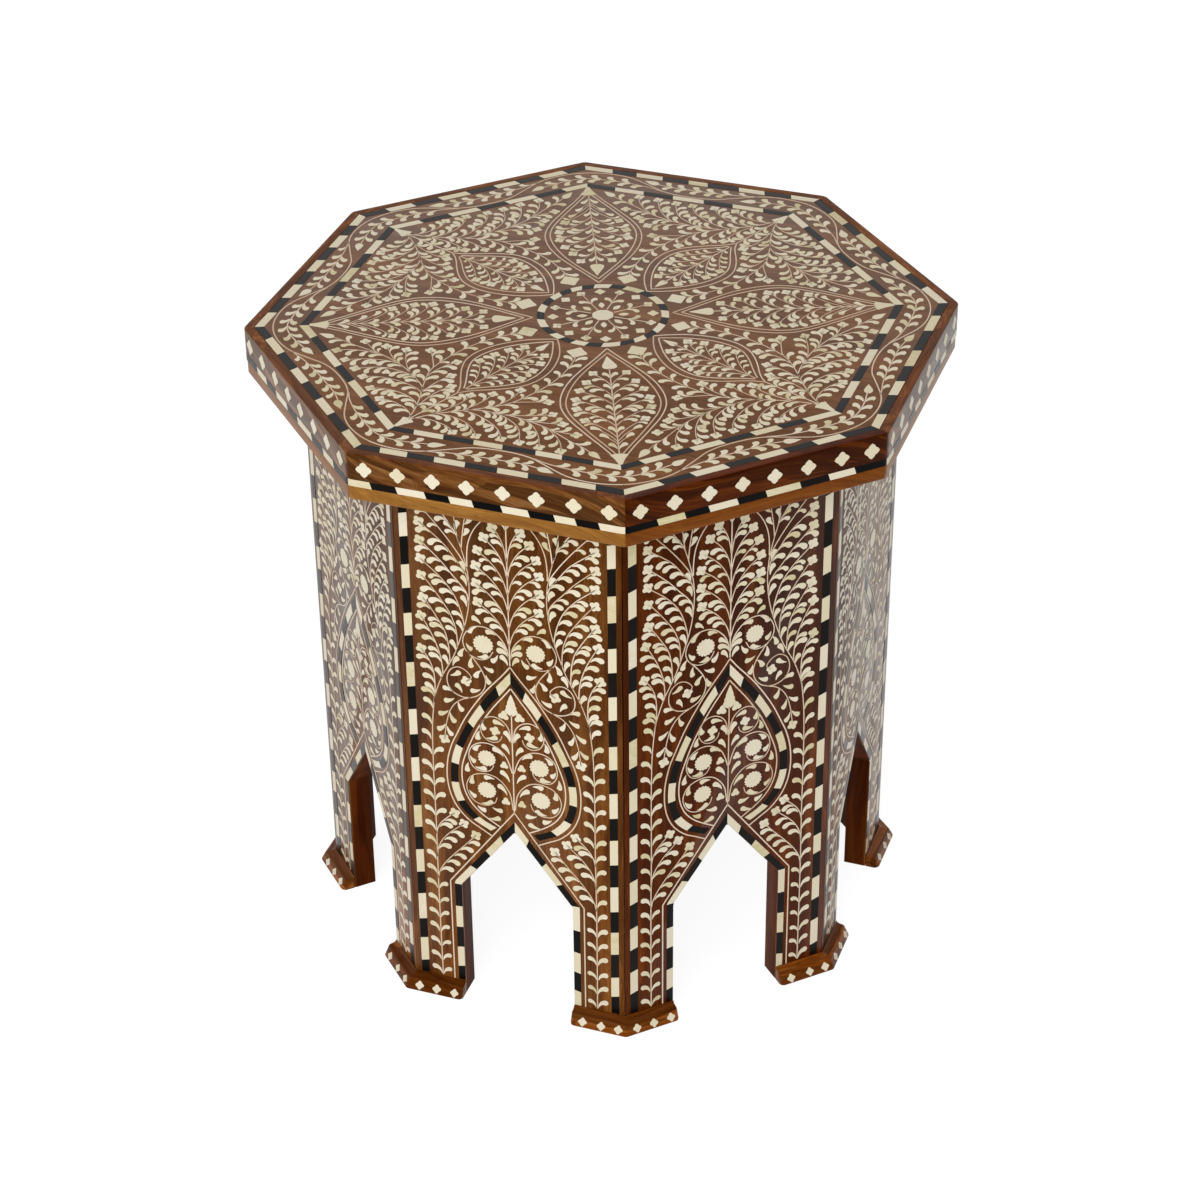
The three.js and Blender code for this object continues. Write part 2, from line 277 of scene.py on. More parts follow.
ARCH_SPRAYS = (
    (((58.2, 138.6), (57.2, 143.5), (54.5, 149), (51, 153.2), (47.4, 156.8)), (44.2, 159.6)),
    (((58.4, 118.6), (57.5, 126), (54.3, 133.8), (48.5, 141.6), (41.2, 148.6)), (37.8, 152)),
    (((58.6, 99.6), (57, 106.2), (53, 114), (46, 123.4), (38.5, 132.2), (31.8, 140.4)), (28.9, 144)),
)
# The medallion over the arch: its two thin outlines and the band between them
OUTER_OUTLINE = ((0, 290.7), (6, 282.4), (12.5, 274.4), (18.5, 266.6), (24.5, 257.6), (30.5, 247.6),
                 (35.2, 238.6), (39.8, 228), (43.4, 219.8), (46, 211.4), (47.7, 202.8), (48.4, 193.6),
                 (48, 184.6), (46.2, 175.6), (42.8, 167.4), (38.2, 161), (32.2, 155.4), (25.4, 151.4),
                 (16.9, 146.4))
BAND_OUTSIDE = ((0, 286.4), (5.6, 279), (11.2, 271.6), (17, 263.8), (22.8, 254.9), (28, 246.2), (32.3, 238),
                (36.8, 228.4), (40.5, 219.6), (43.4, 210.4), (45, 201.6), (45.6, 193), (45.3, 184.6),
                (43.6, 176.4), (40.6, 169.2), (36.4, 163.4), (30.8, 158), (24.6, 154.4), (17.6, 150.8))
BAND_INSIDE = ((0, 277.4), (3.6, 272.2), (7.9, 266), (13.4, 259), (19.3, 250), (24.4, 241.8), (28.6, 233.6),
               (32.6, 225), (36, 216.4), (38.4, 208), (39.8, 200), (40.3, 192.6), (39.9, 185.2),
               (38.2, 177.6), (35.3, 171.2), (31.4, 166), (26.6, 161.2), (20.2, 157.4), (13.4, 154.4))
INNER_OUTLINE = ((0, 273.4), (5.7, 265.4), (12.2, 256.4), (17.6, 248), (22.4, 239.8), (27, 230.6),
                 (31, 220.8), (34.4, 211.4), (36.7, 203.2), (37.5, 195.4), (37.2, 188.4), (35.9, 181.6),
                 (33.4, 175.2), (29.6, 169.6), (24.8, 164.8), (19, 160.6), (10.8, 155.7))
MEDALLION_SPIRALS = ((((0.6, 229), (1.6, 237), (3.2, 241.6), (6, 245), (9.2, 246.9), (12.8, 247.7),
                       (16.4, 246.9), (19.6, 244.6), (22, 241), (22.8, 237), (22, 232.6), (19.6, 228.7),
                       (15.6, 226.6), (11.6, 227), (8.6, 229.4), (7.3, 233)), (12.4, 236.2, None)),
                     (((0.7, 203.6), (2.6, 210.6), (4.9, 216.1), (8.3, 220.3), (12.7, 223.3), (17.7, 224.6),
                       (22.7, 224.1), (27.2, 221.8), (30.4, 218), (31.7, 213.2), (31.6, 208.4), (29.8, 204),
                       (27.2, 201.4), (23.6, 200.4), (19.4, 200.9), (16, 203), (13.9, 206.9)),
                      (18.9, 212, 6.7)),
                     (((0.8, 172.6), (1.6, 180), (2.9, 186.1), (6.1, 191.7), (10.5, 196.2), (14.9, 198.2),
                       (19.4, 198.7), (24, 198), (28.8, 196), (32.2, 192.4), (34, 188), (34.2, 183.6),
                       (32.8, 178.8), (30.2, 175), (26.6, 172.6), (21.6, 171.9), (16.6, 173.3),
                       (13.6, 176.3), (12.2, 180.6)), (19.4, 185.2, 6.9)))
ARCH_LINE = ((0, 170.2), (49.5, 99.6), (49.5, 11))
# Leaves given one by one: tail, tip of the head, and the share by which the leaf bulges to the left
WEDGE_LEAVES = (((34.6, 389.6), (32.6, 398.0), -0.2), ((30.2, 387), (26.4, 393.6), 0.24),
                ((28.8, 396.6), (24.2, 402.4), 0.24), ((37, 390.6), (43, 395.4), 0.22))
SPIRAL_LEAVES = (
    # round the upper rosette, and outside its spiral
    ((2.2, 303.2), (8.6, 308.6), 0.25), ((9.4, 314.4), (16.8, 315.2), 0.22),
    ((22.6, 317.6), (28.4, 311.8), 0.25), ((30.8, 303.6), (26.2, 298.6), 0.22),
    ((23.0, 294.4), (15.6, 296.6), 0.22), ((1.7, 291.8), (6.6, 298.4), 0.25),
    ((19.8, 320.8), (26.0, 324.6), 0.25), ((31.5, 299.2), (35.2, 291.6), 0.25),
    ((8.6, 298.6), (13.6, 292.4), -0.25),
    # along the vine that leaves it, and round the star
    ((27.4, 292.6), (27.4, 284.4), 0.22), ((18.9, 287.4), (11.4, 285.4), 0.25),
    ((17.3, 280.6), (14.2, 273.8), 0.2), ((20.1, 283.4), (24.8, 276.8), 0.25),
    ((21.6, 268.4), (29.2, 265.9), -0.22), ((34.8, 262.6), (39.6, 268.6), 0.22),
    ((43.0, 275.2), (35.8, 279.6), 0.22), ((40.6, 283.2), (36.2, 290.8), -0.22),
    ((41.0, 261.6), (49.0, 263.4), 0.22), ((40.8, 256.6), (48.4, 253.6), -0.22),
    ((37.9, 254.4), (34.4, 247.6), 0.22), ((45.6, 246.0), (52.8, 241.8), -0.22),
    ((44.3, 244.4), (40.4, 237.0), 0.22), ((48.2, 233.6), (54.4, 228.6), -0.22),
    ((46.9, 232.8), (42.8, 225.6), 0.22),
    # the medallion, from the top spiral down
    ((1.7, 229.6), (5.6, 237.4), 0.22), ((5.2, 241.4), (13.6, 243.6), 0.22),
    ((20.9, 242.2), (19.4, 235.4), 0.25), ((18.8, 229.4), (10.8, 231.4), 0.22),
    ((23.2, 233.6), (24.4, 226.2), 0.22), ((2.3, 218.8), (7.6, 225.8), 0.22),
    ((6.4, 216.6), (14.4, 221.0), 0.22), ((22.8, 222.0), (27.6, 216.6), 0.25),
    ((30.9, 211.6), (27.0, 207.0), 0.25), ((27.4, 203.0), (19.6, 203.8), 0.22),
    ((32.6, 205.4), (32.8, 197.6), 0.2), ((2.6, 195.6), (9.4, 203.4), 0.25),
    ((4.6, 184.8), (11.6, 191.2), 0.24), ((13.6, 195.6), (21.4, 195.0), 0.22),
    ((29.3, 195.2), (30.0, 188.0), 0.22), ((32.7, 182.4), (27.4, 177.6), 0.22),
    ((23.6, 173.2), (15.4, 176.6), 0.22), ((16.2, 171.2), (8.2, 170.0), 0.25),
    ((27.0, 170.2), (20.6, 167.4), 0.22), ((19.4, 160.9), (10.4, 163.6), 0.2),
)


def axis_spray(departs, across, up, bend, tip):
    """A stem that leaves a pattern's axis and bows out to its star: a quadratic curve whose bend lies at
    the given shares of the way across and up."""
    bend = np.array((bend[0] * across, departs + bend[1] * (up - departs)))
    return bowed(np.linspace(0, 1, 7)[:, None], np.array((0.3, departs)), bend, np.array(tip))


def panel_garden():
    """Half of a panel's pattern, grown to the right of its middle line."""
    g = Garden()
    for points, radius in ((((0, 170), (0, 423)), 0.2), (((68.4, 11), (68.4, 424)), 0.1), (BAND_OUTSIDE, 1.8),
                           (BAND_INSIDE, 1.8), (((0, 423), (69, 423)), 0.2), (((49, 11), (69, 11)), 0.2)):
        g.wall(points, radius)
    g.fine_line(ARCH_LINE, smooth=False)
    g.fine_line(OUTER_OUTLINE)
    g.fine_line(INNER_OUTLINE)
    # On the axis
    g.stem(((0, 291.5), (0, 404)), sides="right", pitch=13, first=3.7, last=4, smooth=False, shared=True)
    g.bud((0, 403), (0, 413), 2.6, shared=True)
    g.stem(((0, 170.8), (0, 252)), sides="none", smooth=False, shared=True)
    g.bud((0, 251), (0, 268.8), 4.6, "finial", shared=True)
    # The stem that climbs from the foot, and the sprays that leave it
    g.stem(MAIN_STEM, pitch=12.9, first=0.6, last=4, together=True,
           bare=((1, 86, 141), (1, 206, 500), (-1, 252, 500)))
    for path, star in OUTER_SPRAYS:
        g.stem(path, star=star, sides="right", pitch=8.9, first=7.5, last=3.0, **SPRAY_LEAF)
    for path, star in OUTER_SPRAYS[1:8]:
        x, y = path[0]
        g.leaf((x + 1.4, y - 3.6), (x + 5.2, y + 4.2), 0.24, 0.92)
    for path, star in INNER_SPRAYS:
        g.stem(path, star=star, sides="none")
    for tail, head, bend in WEDGE_LEAVES:
        g.leaf(tail, head, bend, 0.9)
    for departs, across, up in CENTRE_PLUME:
        g.stem(axis_spray(departs, across, up, (0.16, 0.58), (across - 3, up - 2.6)), star=(across, up),
               sides="right", pitch=8.9, first=9.5, last=1.2, **SPRAY_LEAF)
    # The spirals
    g.stem(UPPER_SPIRAL, sides="none")
    g.rosette(18.4, 305, 7.0)
    g.stem(TRAILING_VINE, star=(49, 221.4), sides="none")
    g.stem(STAR_SPIRAL, star=(31.6, 272.6), sides="none")
    for path, star in ARCH_SPRAYS:
        g.stem(path, star=star, sides="left", pitch=9.2, first=7.5, last=1.5, **SPRAY_LEAF)
    for path, (x, y, size) in MEDALLION_SPIRALS:
        g.stem(path, sides="none")
        if size is None:
            g.star((x, y), math.radians(15), 3.9)
        else:
            g.rosette(x, y, size)
    g.sprout(5.6, 250.6, math.radians(-20), 3.9)
    g.sprout(6.4, 209, math.radians(90), 3.2)
    g.sprout(5.8, 178.6, math.radians(90), 3.4)
    for tail, head, bend in SPIRAL_LEAVES:
        g.leaf(tail, head, bend, 0.9)
    g.grow()
    return g


# The top's pattern: an eighth of the field, from the axis of a long petal to that of a short one, which is
# turned by an eighth of a circle. A point is its distance from its own petal's axis, and how far out it lies
LONG_OUTSIDE = ((0, 47.5), (8.3, 60.8), (16.7, 73.3), (25, 86.7), (30.4, 99), (33.4, 110), (34.3, 120),
                (33.6, 128), (31.4, 136), (28.2, 144), (22.7, 154.5), (16.4, 166), (10.4, 176.4),
                (5.2, 186.6))
LONG_INSIDE = ((0, 53.5), (8.3, 65.8), (16.2, 78.2), (22.5, 90), (27.3, 102.5), (30, 113.5), (30.7, 121.7),
               (30, 128.5), (27.8, 136.5), (23.3, 146.4), (17.8, 157.3), (11.4, 169.1), (6.3, 178.3),
               (2.2, 186))
LONG_SPRAYS = ((98, 11, 81), (111, 16, 93), (123.5, 21, 103.5), (137, 24.2, 115), (150.5, 24, 127.5),
               (165, 19.5, 142.5))
LONG_TWIGS = ((((0.3, 170), (5.4, 161.6), (10.2, 156.2)), (16.6, 151.8)),
              (((0.3, 173.4), (2.6, 169.8), (5.3, 166.4)), (11, 161)))
SHORT_OUTSIDE = ((0, 45.6), (7.5, 52), (15.3, 60.3), (21.2, 69.5), (25.8, 79.5), (28.2, 90), (28.3, 98.8),
                 (26, 107.8), (20.5, 116.7), (14, 124.5), (8.3, 130.4), (3.6, 136), (0.5, 141.4))
SHORT_INSIDE = ((0, 50), (6.2, 57), (13.3, 66.2), (18.9, 76.1), (22.4, 86.1), (23.6, 96.6), (21.8, 106),
                (16.1, 115.5), (9.5, 123.6), (4.9, 129.4), (1.2, 134.7))
SHORT_SPRAYS = ((88, 9, 68), (101, 14.2, 78), (114, 17, 88.3), (128, 18.6, 101.4))
FAN_STEM = ((0.8, 186), (6.2, 175), (12.5, 165), (18.7, 156.5), (24.2, 149), (29.5, 141), (33.5, 134.3),
            (36, 126.7), (37.6, 116), (38.2, 104), (37.6, 92), (35.5, 80.5), (32.3, 70), (28.3, 60.5),
            (25.6, 55.6))
FAN_BRANCH = ((19, 156), (21.2, 152.8), (27.5, 148.8), (38.7, 144.2), (48, 141), (58.7, 138.8),
              (73.7, 137.6), (85, 138.6), (96.4, 140.1), (109.3, 140.9), (116.2, 142))
FAN_SPRAYS = (
    (((1.5, 184), (6.2, 180.6), (13.7, 178.1), (22.5, 177.5), (28, 178.4)), (33, 180.6)),
    (((7.5, 171.8), (13.7, 167.8), (23.7, 166), (33.7, 167), (42.5, 170.8)), (47.7, 174.6)),
    (((18.7, 156.6), (25, 155), (33.7, 154.8), (43.7, 156.4), (52.5, 159.4), (58, 163)), (62.3, 167)),
    (((33, 146.5), (40, 145), (46.2, 145.2), (56.2, 147.3), (63.7, 151.5), (70, 157.8)), (74, 162.6)),
    (((57.5, 139.1), (65, 141), (73.7, 145.6), (80, 150.5), (84, 154.6)), (87.6, 158.6)),
    (((75.9, 137.8), (84.8, 140.8), (92.6, 144.8), (97.6, 149)), (101.3, 153.2)),
    (((18.7, 156), (19.2, 151), (20, 145), (20.2, 136.5), (19.4, 132)), (18.8, 128.2)),
    (((7.5, 172.5), (9.4, 163), (10.8, 153), (10.5, 146), (9.8, 142.4)), (9, 138.6)),
    (((30.5, 139.5), (31.5, 133), (31.8, 126.5), (31, 119.5), (30, 116.4)), (28.8, 112.6)),
    (((35.5, 129), (37.5, 126), (41.3, 122.5), (45.7, 118.5), (50, 115)), (53.5, 112.3)),
    (((41, 143.5), (48.7, 139), (56.2, 133), (62.6, 126.6)), (66.2, 122.3)),
    (((58.5, 138.8), (64, 136.6), (70, 133.4), (75.5, 130)), (79.6, 127.5)),
    (((78, 137.6), (83, 136.6), (88, 134.8), (91.6, 133.4)), (95.5, 131.8)),
)
FAN_SPROUTS = ((31.2, 171.3), (43.7, 160.5), (55, 152.5), (71, 148.8))
BIG_RHOMB = (22.5, 50.7, 7.4)
# The border of the top, one side of the octagon: distance from the side's middle, and from the table's axis
BORDER_LINE = ((0, 191.6), (8, 191.9), (15, 192.9), (22, 194.9), (30, 199), (39, 203.6), (47.5, 207.6),
               (56, 209.8), (65, 210.4), (75, 209.4), (81.5, 207.8), (85.4, 206.4))
VINE_INSIDE = ((21.7, 194.2), (29.6, 196.9), (36.9, 198.4), (45.4, 199.4), (53, 199.8), (62, 199.8),
               (71.8, 199.2), (79, 198.4))
VINE_INSIDE_NEXT = ((-76.8, 199.2), (-69.3, 200.1), (-59.2, 199.9), (-52, 199), (-47.5, 198.4))
VINE_OUTSIDE = ((-46.4, 207.1), (-42, 206.6), (-31.5, 204.6), (-19.4, 203.5), (-8, 203), (5, 202.8),
                (14, 202.7), (19, 202.9), (24.5, 203.7), (28.5, 204.5))
# Where the patterns end: apothems of the field's edge and of the border's two, and the radius at the ring
FIELD_EDGE, BORDER_EDGES, RING_EDGE = 184.0, (190.2, 211.8), 46.2


def fold(points):
    """Points of a short petal's axis, seen from the axis of the long petal beside it."""
    p = np.asarray(points, float)
    across, out = p[..., 0], p[..., 1]
    return math.sqrt(0.5) * np.stack((out - across, out + across), -1)


def next_side(points):
    """Points of the octagon's next side, seen from this one."""
    p = np.asarray(points, float)
    return math.sqrt(0.5) * np.stack((p[..., 0] + p[..., 1], p[..., 1] - p[..., 0]), -1)


def petal_sprays(garden, table, seen, side, first, size):
    """The sprays on a petal's axis. They are seen from the long petal's axis, through a function of their
    points."""
    for departs, across, out in table:
        path = axis_spray(departs, across, out, (0.28, 0.5), (0.9 * across, out + 2))
        garden.stem(seen(path), star=tuple(seen((across, out))), sides=side, pitch=8.2, first=first, last=0.8,
                    size=size, star_size=3.8, thick=0.7, **SPRAY_LEAF)


def top_garden():
    """An eighth of the top's field: half of a long petal, and half of the short one clockwise of it."""
    g = Garden()
    edge = (0, FIELD_EDGE / math.cos(HALF_ANGLE))
    g.wall(((0, 30), edge), 0.2)
    g.wall(fold(((0, 30), edge)), 0.2)
    g.wall((edge, tuple(fold(edge))), 0.1)
    for line in (LONG_OUTSIDE, LONG_INSIDE, fold(SHORT_OUTSIDE), fold(SHORT_INSIDE)):
        g.fine_line(line)
    turn = np.linspace(0, 2 * HALF_ANGLE, 20)
    g.wall(RING_EDGE * np.column_stack((np.sin(turn), np.cos(turn))))
    # The long petal's axis
    g.stem(((0, 186), (0, 75)), sides="left", pitch=14.2, first=12.8, last=9, smooth=False, size=0.92,
           shared=True, reach=(6.4, 4.9), bulge=(5.8, 0.6))
    g.bud((0, 75.6), (0, 58.7), 5.0, "drop", shared=True)
    for path, head in LONG_TWIGS:
        g.stem(path, sides="none", thick=0.7)
        g.leaf(path[-1], head, -0.22, 0.95)
    g.leaf((0.9, 179.6), (5.9, 172.8), -0.22, 0.9)
    g.bud((0, 199.2), (0, 185.6), 5.9, "funnel", shared=True)
    # The short petal's axis
    g.stem(fold(((0, 187), (0, 141.5))), sides="right", pitch=13, first=9, last=3, smooth=False, size=0.94,
           shared=True)
    g.stem(fold(((0, 134.5), (0, 64))), sides="right", pitch=13.2, first=8.5, last=6, smooth=False, size=0.92,
           shared=True, reach=(6.2, 4.4), bulge=(5.6, 0.5))
    g.bud(fold((0, 65.5)), fold((0, 54)), 2.8, "drop", shared=True)
    g.bud(fold((0, 199.2)), fold((0, 186.2)), 5.0, "funnel", shared=True)
    x, y = fold(BIG_RHOMB[:2])
    g.rhomb(x, y, math.atan2(y, x), BIG_RHOMB[2])
    # The fan between them
    g.stem(fold(FAN_STEM), pitch=12.7, first=11.6, last=0, together=True)
    g.stem(fold(FAN_BRANCH), pitch=11.5, first=7, last=6.5, size=0.98)
    g.bud(fold((115.8, 141.9)), fold((127, 143.9)), 2.9, "teardrop")
    petal_sprays(g, LONG_SPRAYS, np.asarray, "left", 8.2, 0.94)
    petal_sprays(g, SHORT_SPRAYS, fold, "right", 7.4, 0.92)
    for number, (path, star) in enumerate(FAN_SPRAYS):
        g.stem(fold(path), star=tuple(fold(star)), sides="right" if number < 6 else "left", pitch=10.2,
               first=5.5, last=1.4, size=0.98, star_size=3.9, thick=0.85, **SPRAY_LEAF)
    for spot in FAN_SPROUTS:
        x, y = fold(spot)
        g.sprout(x, y, math.atan2(y, x), 3.3)
    g.grow()
    return g


def border_garden():
    """The running vines of one side of the top's border."""
    g = Garden()
    line = np.array(BORDER_LINE)
    whole = np.vstack((line[::-1] * (-1, 1), line[1:]))
    g.fine_line(whole)
    g.wall(next_side(line[::-1][:6] * (-1, 1)))
    g.wall(next_side(whole[::-1]))
    for apothem in BORDER_EDGES:
        reach = apothem * math.tan(HALF_ANGLE)
        g.wall(((-reach, apothem), (reach, apothem)), 0.1)
        g.wall(next_side(((-reach, apothem), (reach, apothem))), 0.1)
    border_leaf = dict(pitch=11.3, size=1.16, together=True, reach=(5.0, 4.7), bulge=(5.0, 0.7), taper=1.0)
    g.bud(*next_side(((-47.8, 199.3), (-36.4, 196.3))), 3.0, "teardrop")
    g.bud((28.2, 204.5), (39.8, 207.4), 3.0, "teardrop")
    g.stem(VINE_INSIDE + tuple(map(tuple, next_side(VINE_INSIDE_NEXT))), first=5, last=2,
           bare=((1, 0, 20), (-1, 0, 12)), **border_leaf)
    g.stem(VINE_OUTSIDE, first=7.5, last=2, bare=((1, 0, 7), (-1, 0, 15)), **border_leaf)
    g.grow()
    return g


def centre_garden():
    """An eighth of the middle, from one axis to halfway to the next."""
    g = Garden()
    g.bud((0, 10.5), (0, 18), 2.0, "oval", shared=True)
    g.rhomb(0, 34, math.pi / 2, 3.9)
    turn = math.pi / 2 - HALF_ANGLE
    way = np.array((math.cos(turn), math.sin(turn)))
    g.stem((way * 8.4, way * 30), star=tuple(way * 34.3), pitch=20, first=10, last=3, together=True,
           size=0.86, smooth=False, star_size=3.5)
    g.wall(((0, 10.5), (0, 18)), 2.0)
    g.grow()
    return g


# Meshes
class Solid:
    """Points in millimetres and faces, gathered from many closed bodies, with a grain and a tone for each
    point."""

    def __init__(self):
        self.points, self.faces, self.tones, self.grains, self.count = [], [], [], [], 0

    def add(self, points, faces, tone=0.5, grain=None):
        points = np.asarray(points, float).reshape(-1, 3)
        self.points.append(points)
        self.faces += [np.asarray(f) + self.count for f in faces]
        self.tones.append(np.broadcast_to(tone, (len(points),)))
        self.grains.append(points if grain is None else np.asarray(grain, float).reshape(-1, 3))
        self.count += len(points)

    def piece(self, name, finish, slot, nodes=()):
        """The object, in metres, with its finish, and the part's nodes that it replaces."""
        points = np.vstack(self.points)
        loops = np.concatenate([f.ravel() for f in self.faces])
        sizes = np.concatenate([np.full(len(f), f.shape[1]) for f in self.faces])
        mesh = bpy.data.meshes.new(name)
        mesh.vertices.add(len(points))
        mesh.vertices.foreach_set("co", (points * MM).astype(np.float32).ravel())
        mesh.loops.add(len(loops))
        mesh.loops.foreach_set("vertex_index", loops.astype(np.int32))
        mesh.polygons.add(len(sizes))
        mesh.polygons.foreach_set("loop_start", np.concatenate(([0], np.cumsum(sizes)[:-1])).astype(np.int32))
        mesh.update(calc_edges=True)
        tone = mesh.attributes.new("tone", "FLOAT", "POINT")
        tone.data.foreach_set("value", np.concatenate(self.tones).astype(np.float32))
        grain = mesh.attributes.new("grain", "FLOAT_VECTOR", "POINT")
        grain.data.foreach_set("vector", np.vstack(self.grains).astype(np.float32).ravel())
        mesh.materials.append(finish)
        mesh.shade_smooth()
        mesh.set_sharp_from_angle(angle=math.radians(SHARP_ANGLE))
        new = bpy.data.objects.new(name, mesh)
        scene.collection.objects.link(new)
        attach(new, "root")
        if nodes:
            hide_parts(*nodes)
        return new


class Plane:
    """A flat place on the table: right, up and out are unit vectors, and its origin lies on the CAD face."""

    def __init__(self, origin, right, up, out):
        self.origin, self.axes = np.array(origin, float), np.array((right, up, out), float)

    def at(self, points):
        return self.origin + np.asarray(points) @ self.axes


TOP_PLANE = Plane((0, 0, TABLE_HEIGHT), (1, 0, 0), (0, 1, 0), (0, 0, 1))


def side_vectors(number):
    """The outward normal of one side of the octagon, and the direction along it to the right."""
    angle = math.radians(SIDE_TURN * (number - 1) - 90)
    out = np.array((math.cos(angle), math.sin(angle), 0))
    return out, np.array((-out[1], out[0], 0))


def side_plane(number, apothem):
    out, right = side_vectors(number)
    return Plane(out * apothem, right, SKY, out)


def from_side(number, along, away, up):
    """Points in space, from their distance along a side to the right, from the table's axis, and up."""
    out, right = side_vectors(number)
    return along[..., None] * right + away[..., None] * out + up[..., None] * SKY


def wrapped(number, apothem):
    """A mapping for the lippings: a point goes along the side, and past the corner's start it goes round the
    corner's arc, whose angle is the distance over the radius; its height over the face adds to the radius."""
    def place(points):
        points = np.asarray(points, float)
        along, up, over = points[..., 0], points[..., 1], points[..., 2] + apothem
        past = np.clip(np.abs(along) - CORNER_START, 0, None) / CORNER_RADIUS
        reach = over - CORNER_CENTRE
        x = np.clip(along, -CORNER_START, CORNER_START) + np.sign(along) * reach * np.sin(past)
        y = CORNER_CENTRE + reach * np.cos(past)
        inner = along * over * math.tan(HALF_ANGLE) / CORNER_END
        return from_side(number, np.where(reach >= 0, x, inner), np.where(reach >= 0, y, over), up)

    return place


def anticlockwise(outlines):
    """The same closed outlines, with those that run clockwise turned round."""
    x, y = outlines[..., 0], outlines[..., 1]
    area = (x * np.roll(y, -1, 1) - np.roll(x, -1, 1) * y).sum(1)
    return np.where((area < 0)[:, None, None], outlines[:, ::-1], outlines)


def slabs(outlines, depth, strips):
    """Flat bodies on closed outlines: a lid at height nought, the same face reversed at the depth, and a wall
    between them. A strip's lid is a row of four-sided faces, from its right edge across to its left."""
    outlines = anticlockwise(np.asarray(outlines, float))
    bodies, corners = outlines.shape[:2]
    points = np.zeros((bodies, 2, corners, 3))
    points[..., :2] = outlines[:, None]
    points[:, 1, :, 2] = -depth
    first = (np.arange(bodies) * 2 * corners)[:, None, None]
    k = np.arange(corners)
    wall = np.stack((corners + k, corners + (k + 1) % corners, (k + 1) % corners, k), -1)
    if strips:
        k = np.arange(corners // 2 - 1)
        lid = np.stack((k, k + 1, corners - 2 - k, corners - 1 - k), -1)
    else:
        lid = k[None]
    shapes = (wall, lid, lid[:, ::-1] + corners)
    return points.reshape(-1, 3), [(s[None] + first).reshape(-1, s.shape[1]) for s in shapes]


def let_in(solid, outlines, place, tone, depth=INLAY_DEPTH, strips=False):
    """Slabs on these outlines, put in their place as part of a solid, each with its tone."""
    points, faces = slabs(outlines, depth, strips)
    solid.add(place(points), faces, np.repeat(tone, 2 * outlines.shape[1]), points)


def tube(rows, clockwise=False):
    """Points and faces of a body through rows of points, each a closed outline: walls from row to row, and
    a face on the first and the last. The outlines run anticlockwise for someone who looks along the rows,
    or clockwise."""
    count, corners = rows.shape[:2]
    k, r = np.meshgrid(np.arange(corners), np.arange(count - 1))
    n = (k + 1) % corners
    wall = np.stack((r * corners + k, (r + 1) * corners + k, (r + 1) * corners + n, r * corners + n), -1)
    wall, first = wall.reshape(-1, 4), np.arange(corners)[None]
    last = first + (count - 1) * corners
    if clockwise:
        return rows.reshape(-1, 3), [wall[:, (0, 3, 2, 1)], first[:, ::-1], last]
    return rows.reshape(-1, 3), [wall, first, last[:, ::-1]]


def turns(count):
    """Equal turns round a circle."""
    return np.linspace(0, 2 * math.pi, count, endpoint=False)


# Outlines of the inlay
LEAF_STATIONS = np.array((0, 0.15, 0.32, 0.5, 0.66, 0.8, 0.9, 0.965, 1))
LEAF_WIDTHS = np.array((0.2, 0.56, 1.02, 1.46, 1.86, 2.18, 2.04, 1.38, 0.36))
# The radius of each flower and rhomb at equal turns, as a share of its size
STAR_RADII = np.array((0.98, 0.95, 0.8, 0.66, 0.8, 0.95) * 4)
SPROUT_RADII = 0.6 + 0.4 * np.abs(np.cos(1.5 * turns(24))) ** 1.4
ROSETTE_RADII = 0.88 + 0.12 * np.abs(np.cos(8 * turns(64)))
BOSS_RADII = 0.93 + 0.07 * np.abs(np.cos(4 * turns(64)))
RHOMB_RADII = np.array((0.98, 0.9, 0.82, 0.755, 0.665, 0.755, 0.82, 0.9) * 4)
SQUARE_RADII = np.array((1.0, 0.885, 0.79, 0.735, 0.7, 0.735, 0.79, 0.885) * 4)
BUD_SHAPES = {  # stations along a bud, and its half widths there, as shares of its greatest
    "bud": ((0, 0.12, 0.3, 0.5, 0.7, 0.88, 1), (0.22, 0.62, 0.95, 1, 0.7, 0.32, 0.05)),
    "drop": ((0, 0.03, 0.09, 0.18, 0.3, 0.5, 0.7, 0.88, 1), (0.3, 0.66, 0.9, 1, 0.95, 0.7, 0.43, 0.2, 0.04)),
    "teardrop": ((0, 0.1, 0.3, 0.5, 0.7, 0.88, 1), (0.25, 0.75, 1, 0.86, 0.55, 0.22, 0.03)),
    "funnel": ((0, 0.2, 0.45, 0.7, 0.88, 0.93, 1), (0.2, 0.34, 0.52, 0.78, 1, 0.8, 0.35)),
    "finial": ((0, 0.06, 0.16, 0.24, 0.33, 0.42, 0.52, 0.62, 0.75, 0.88, 1),
               (0.2, 0.55, 0.95, 1, 0.8, 0.84, 0.62, 0.6, 0.4, 0.24, 0.03)),
    "oval": ((0, 0.15, 0.35, 0.5, 0.65, 0.85, 1), (0.04, 0.55, 0.94, 1, 0.94, 0.55, 0.04)),
}


def leaf_outlines(leaves):
    """A comma: a quadratic curve from tail to head, and a half width at each station along it."""
    leaves = np.asarray(leaves)
    tail, bend, head = (leaves[:, None, k:k + 2] for k in (0, 2, 4))
    middle = bowed(LEAF_STATIONS[None, :, None], tail, bend, head)
    left = headings(middle)[1] * LEAF_WIDTHS[None, :, None] * leaves[:, 6, None, None]
    return np.concatenate((middle - left, (middle + left)[:, ::-1]), 1)


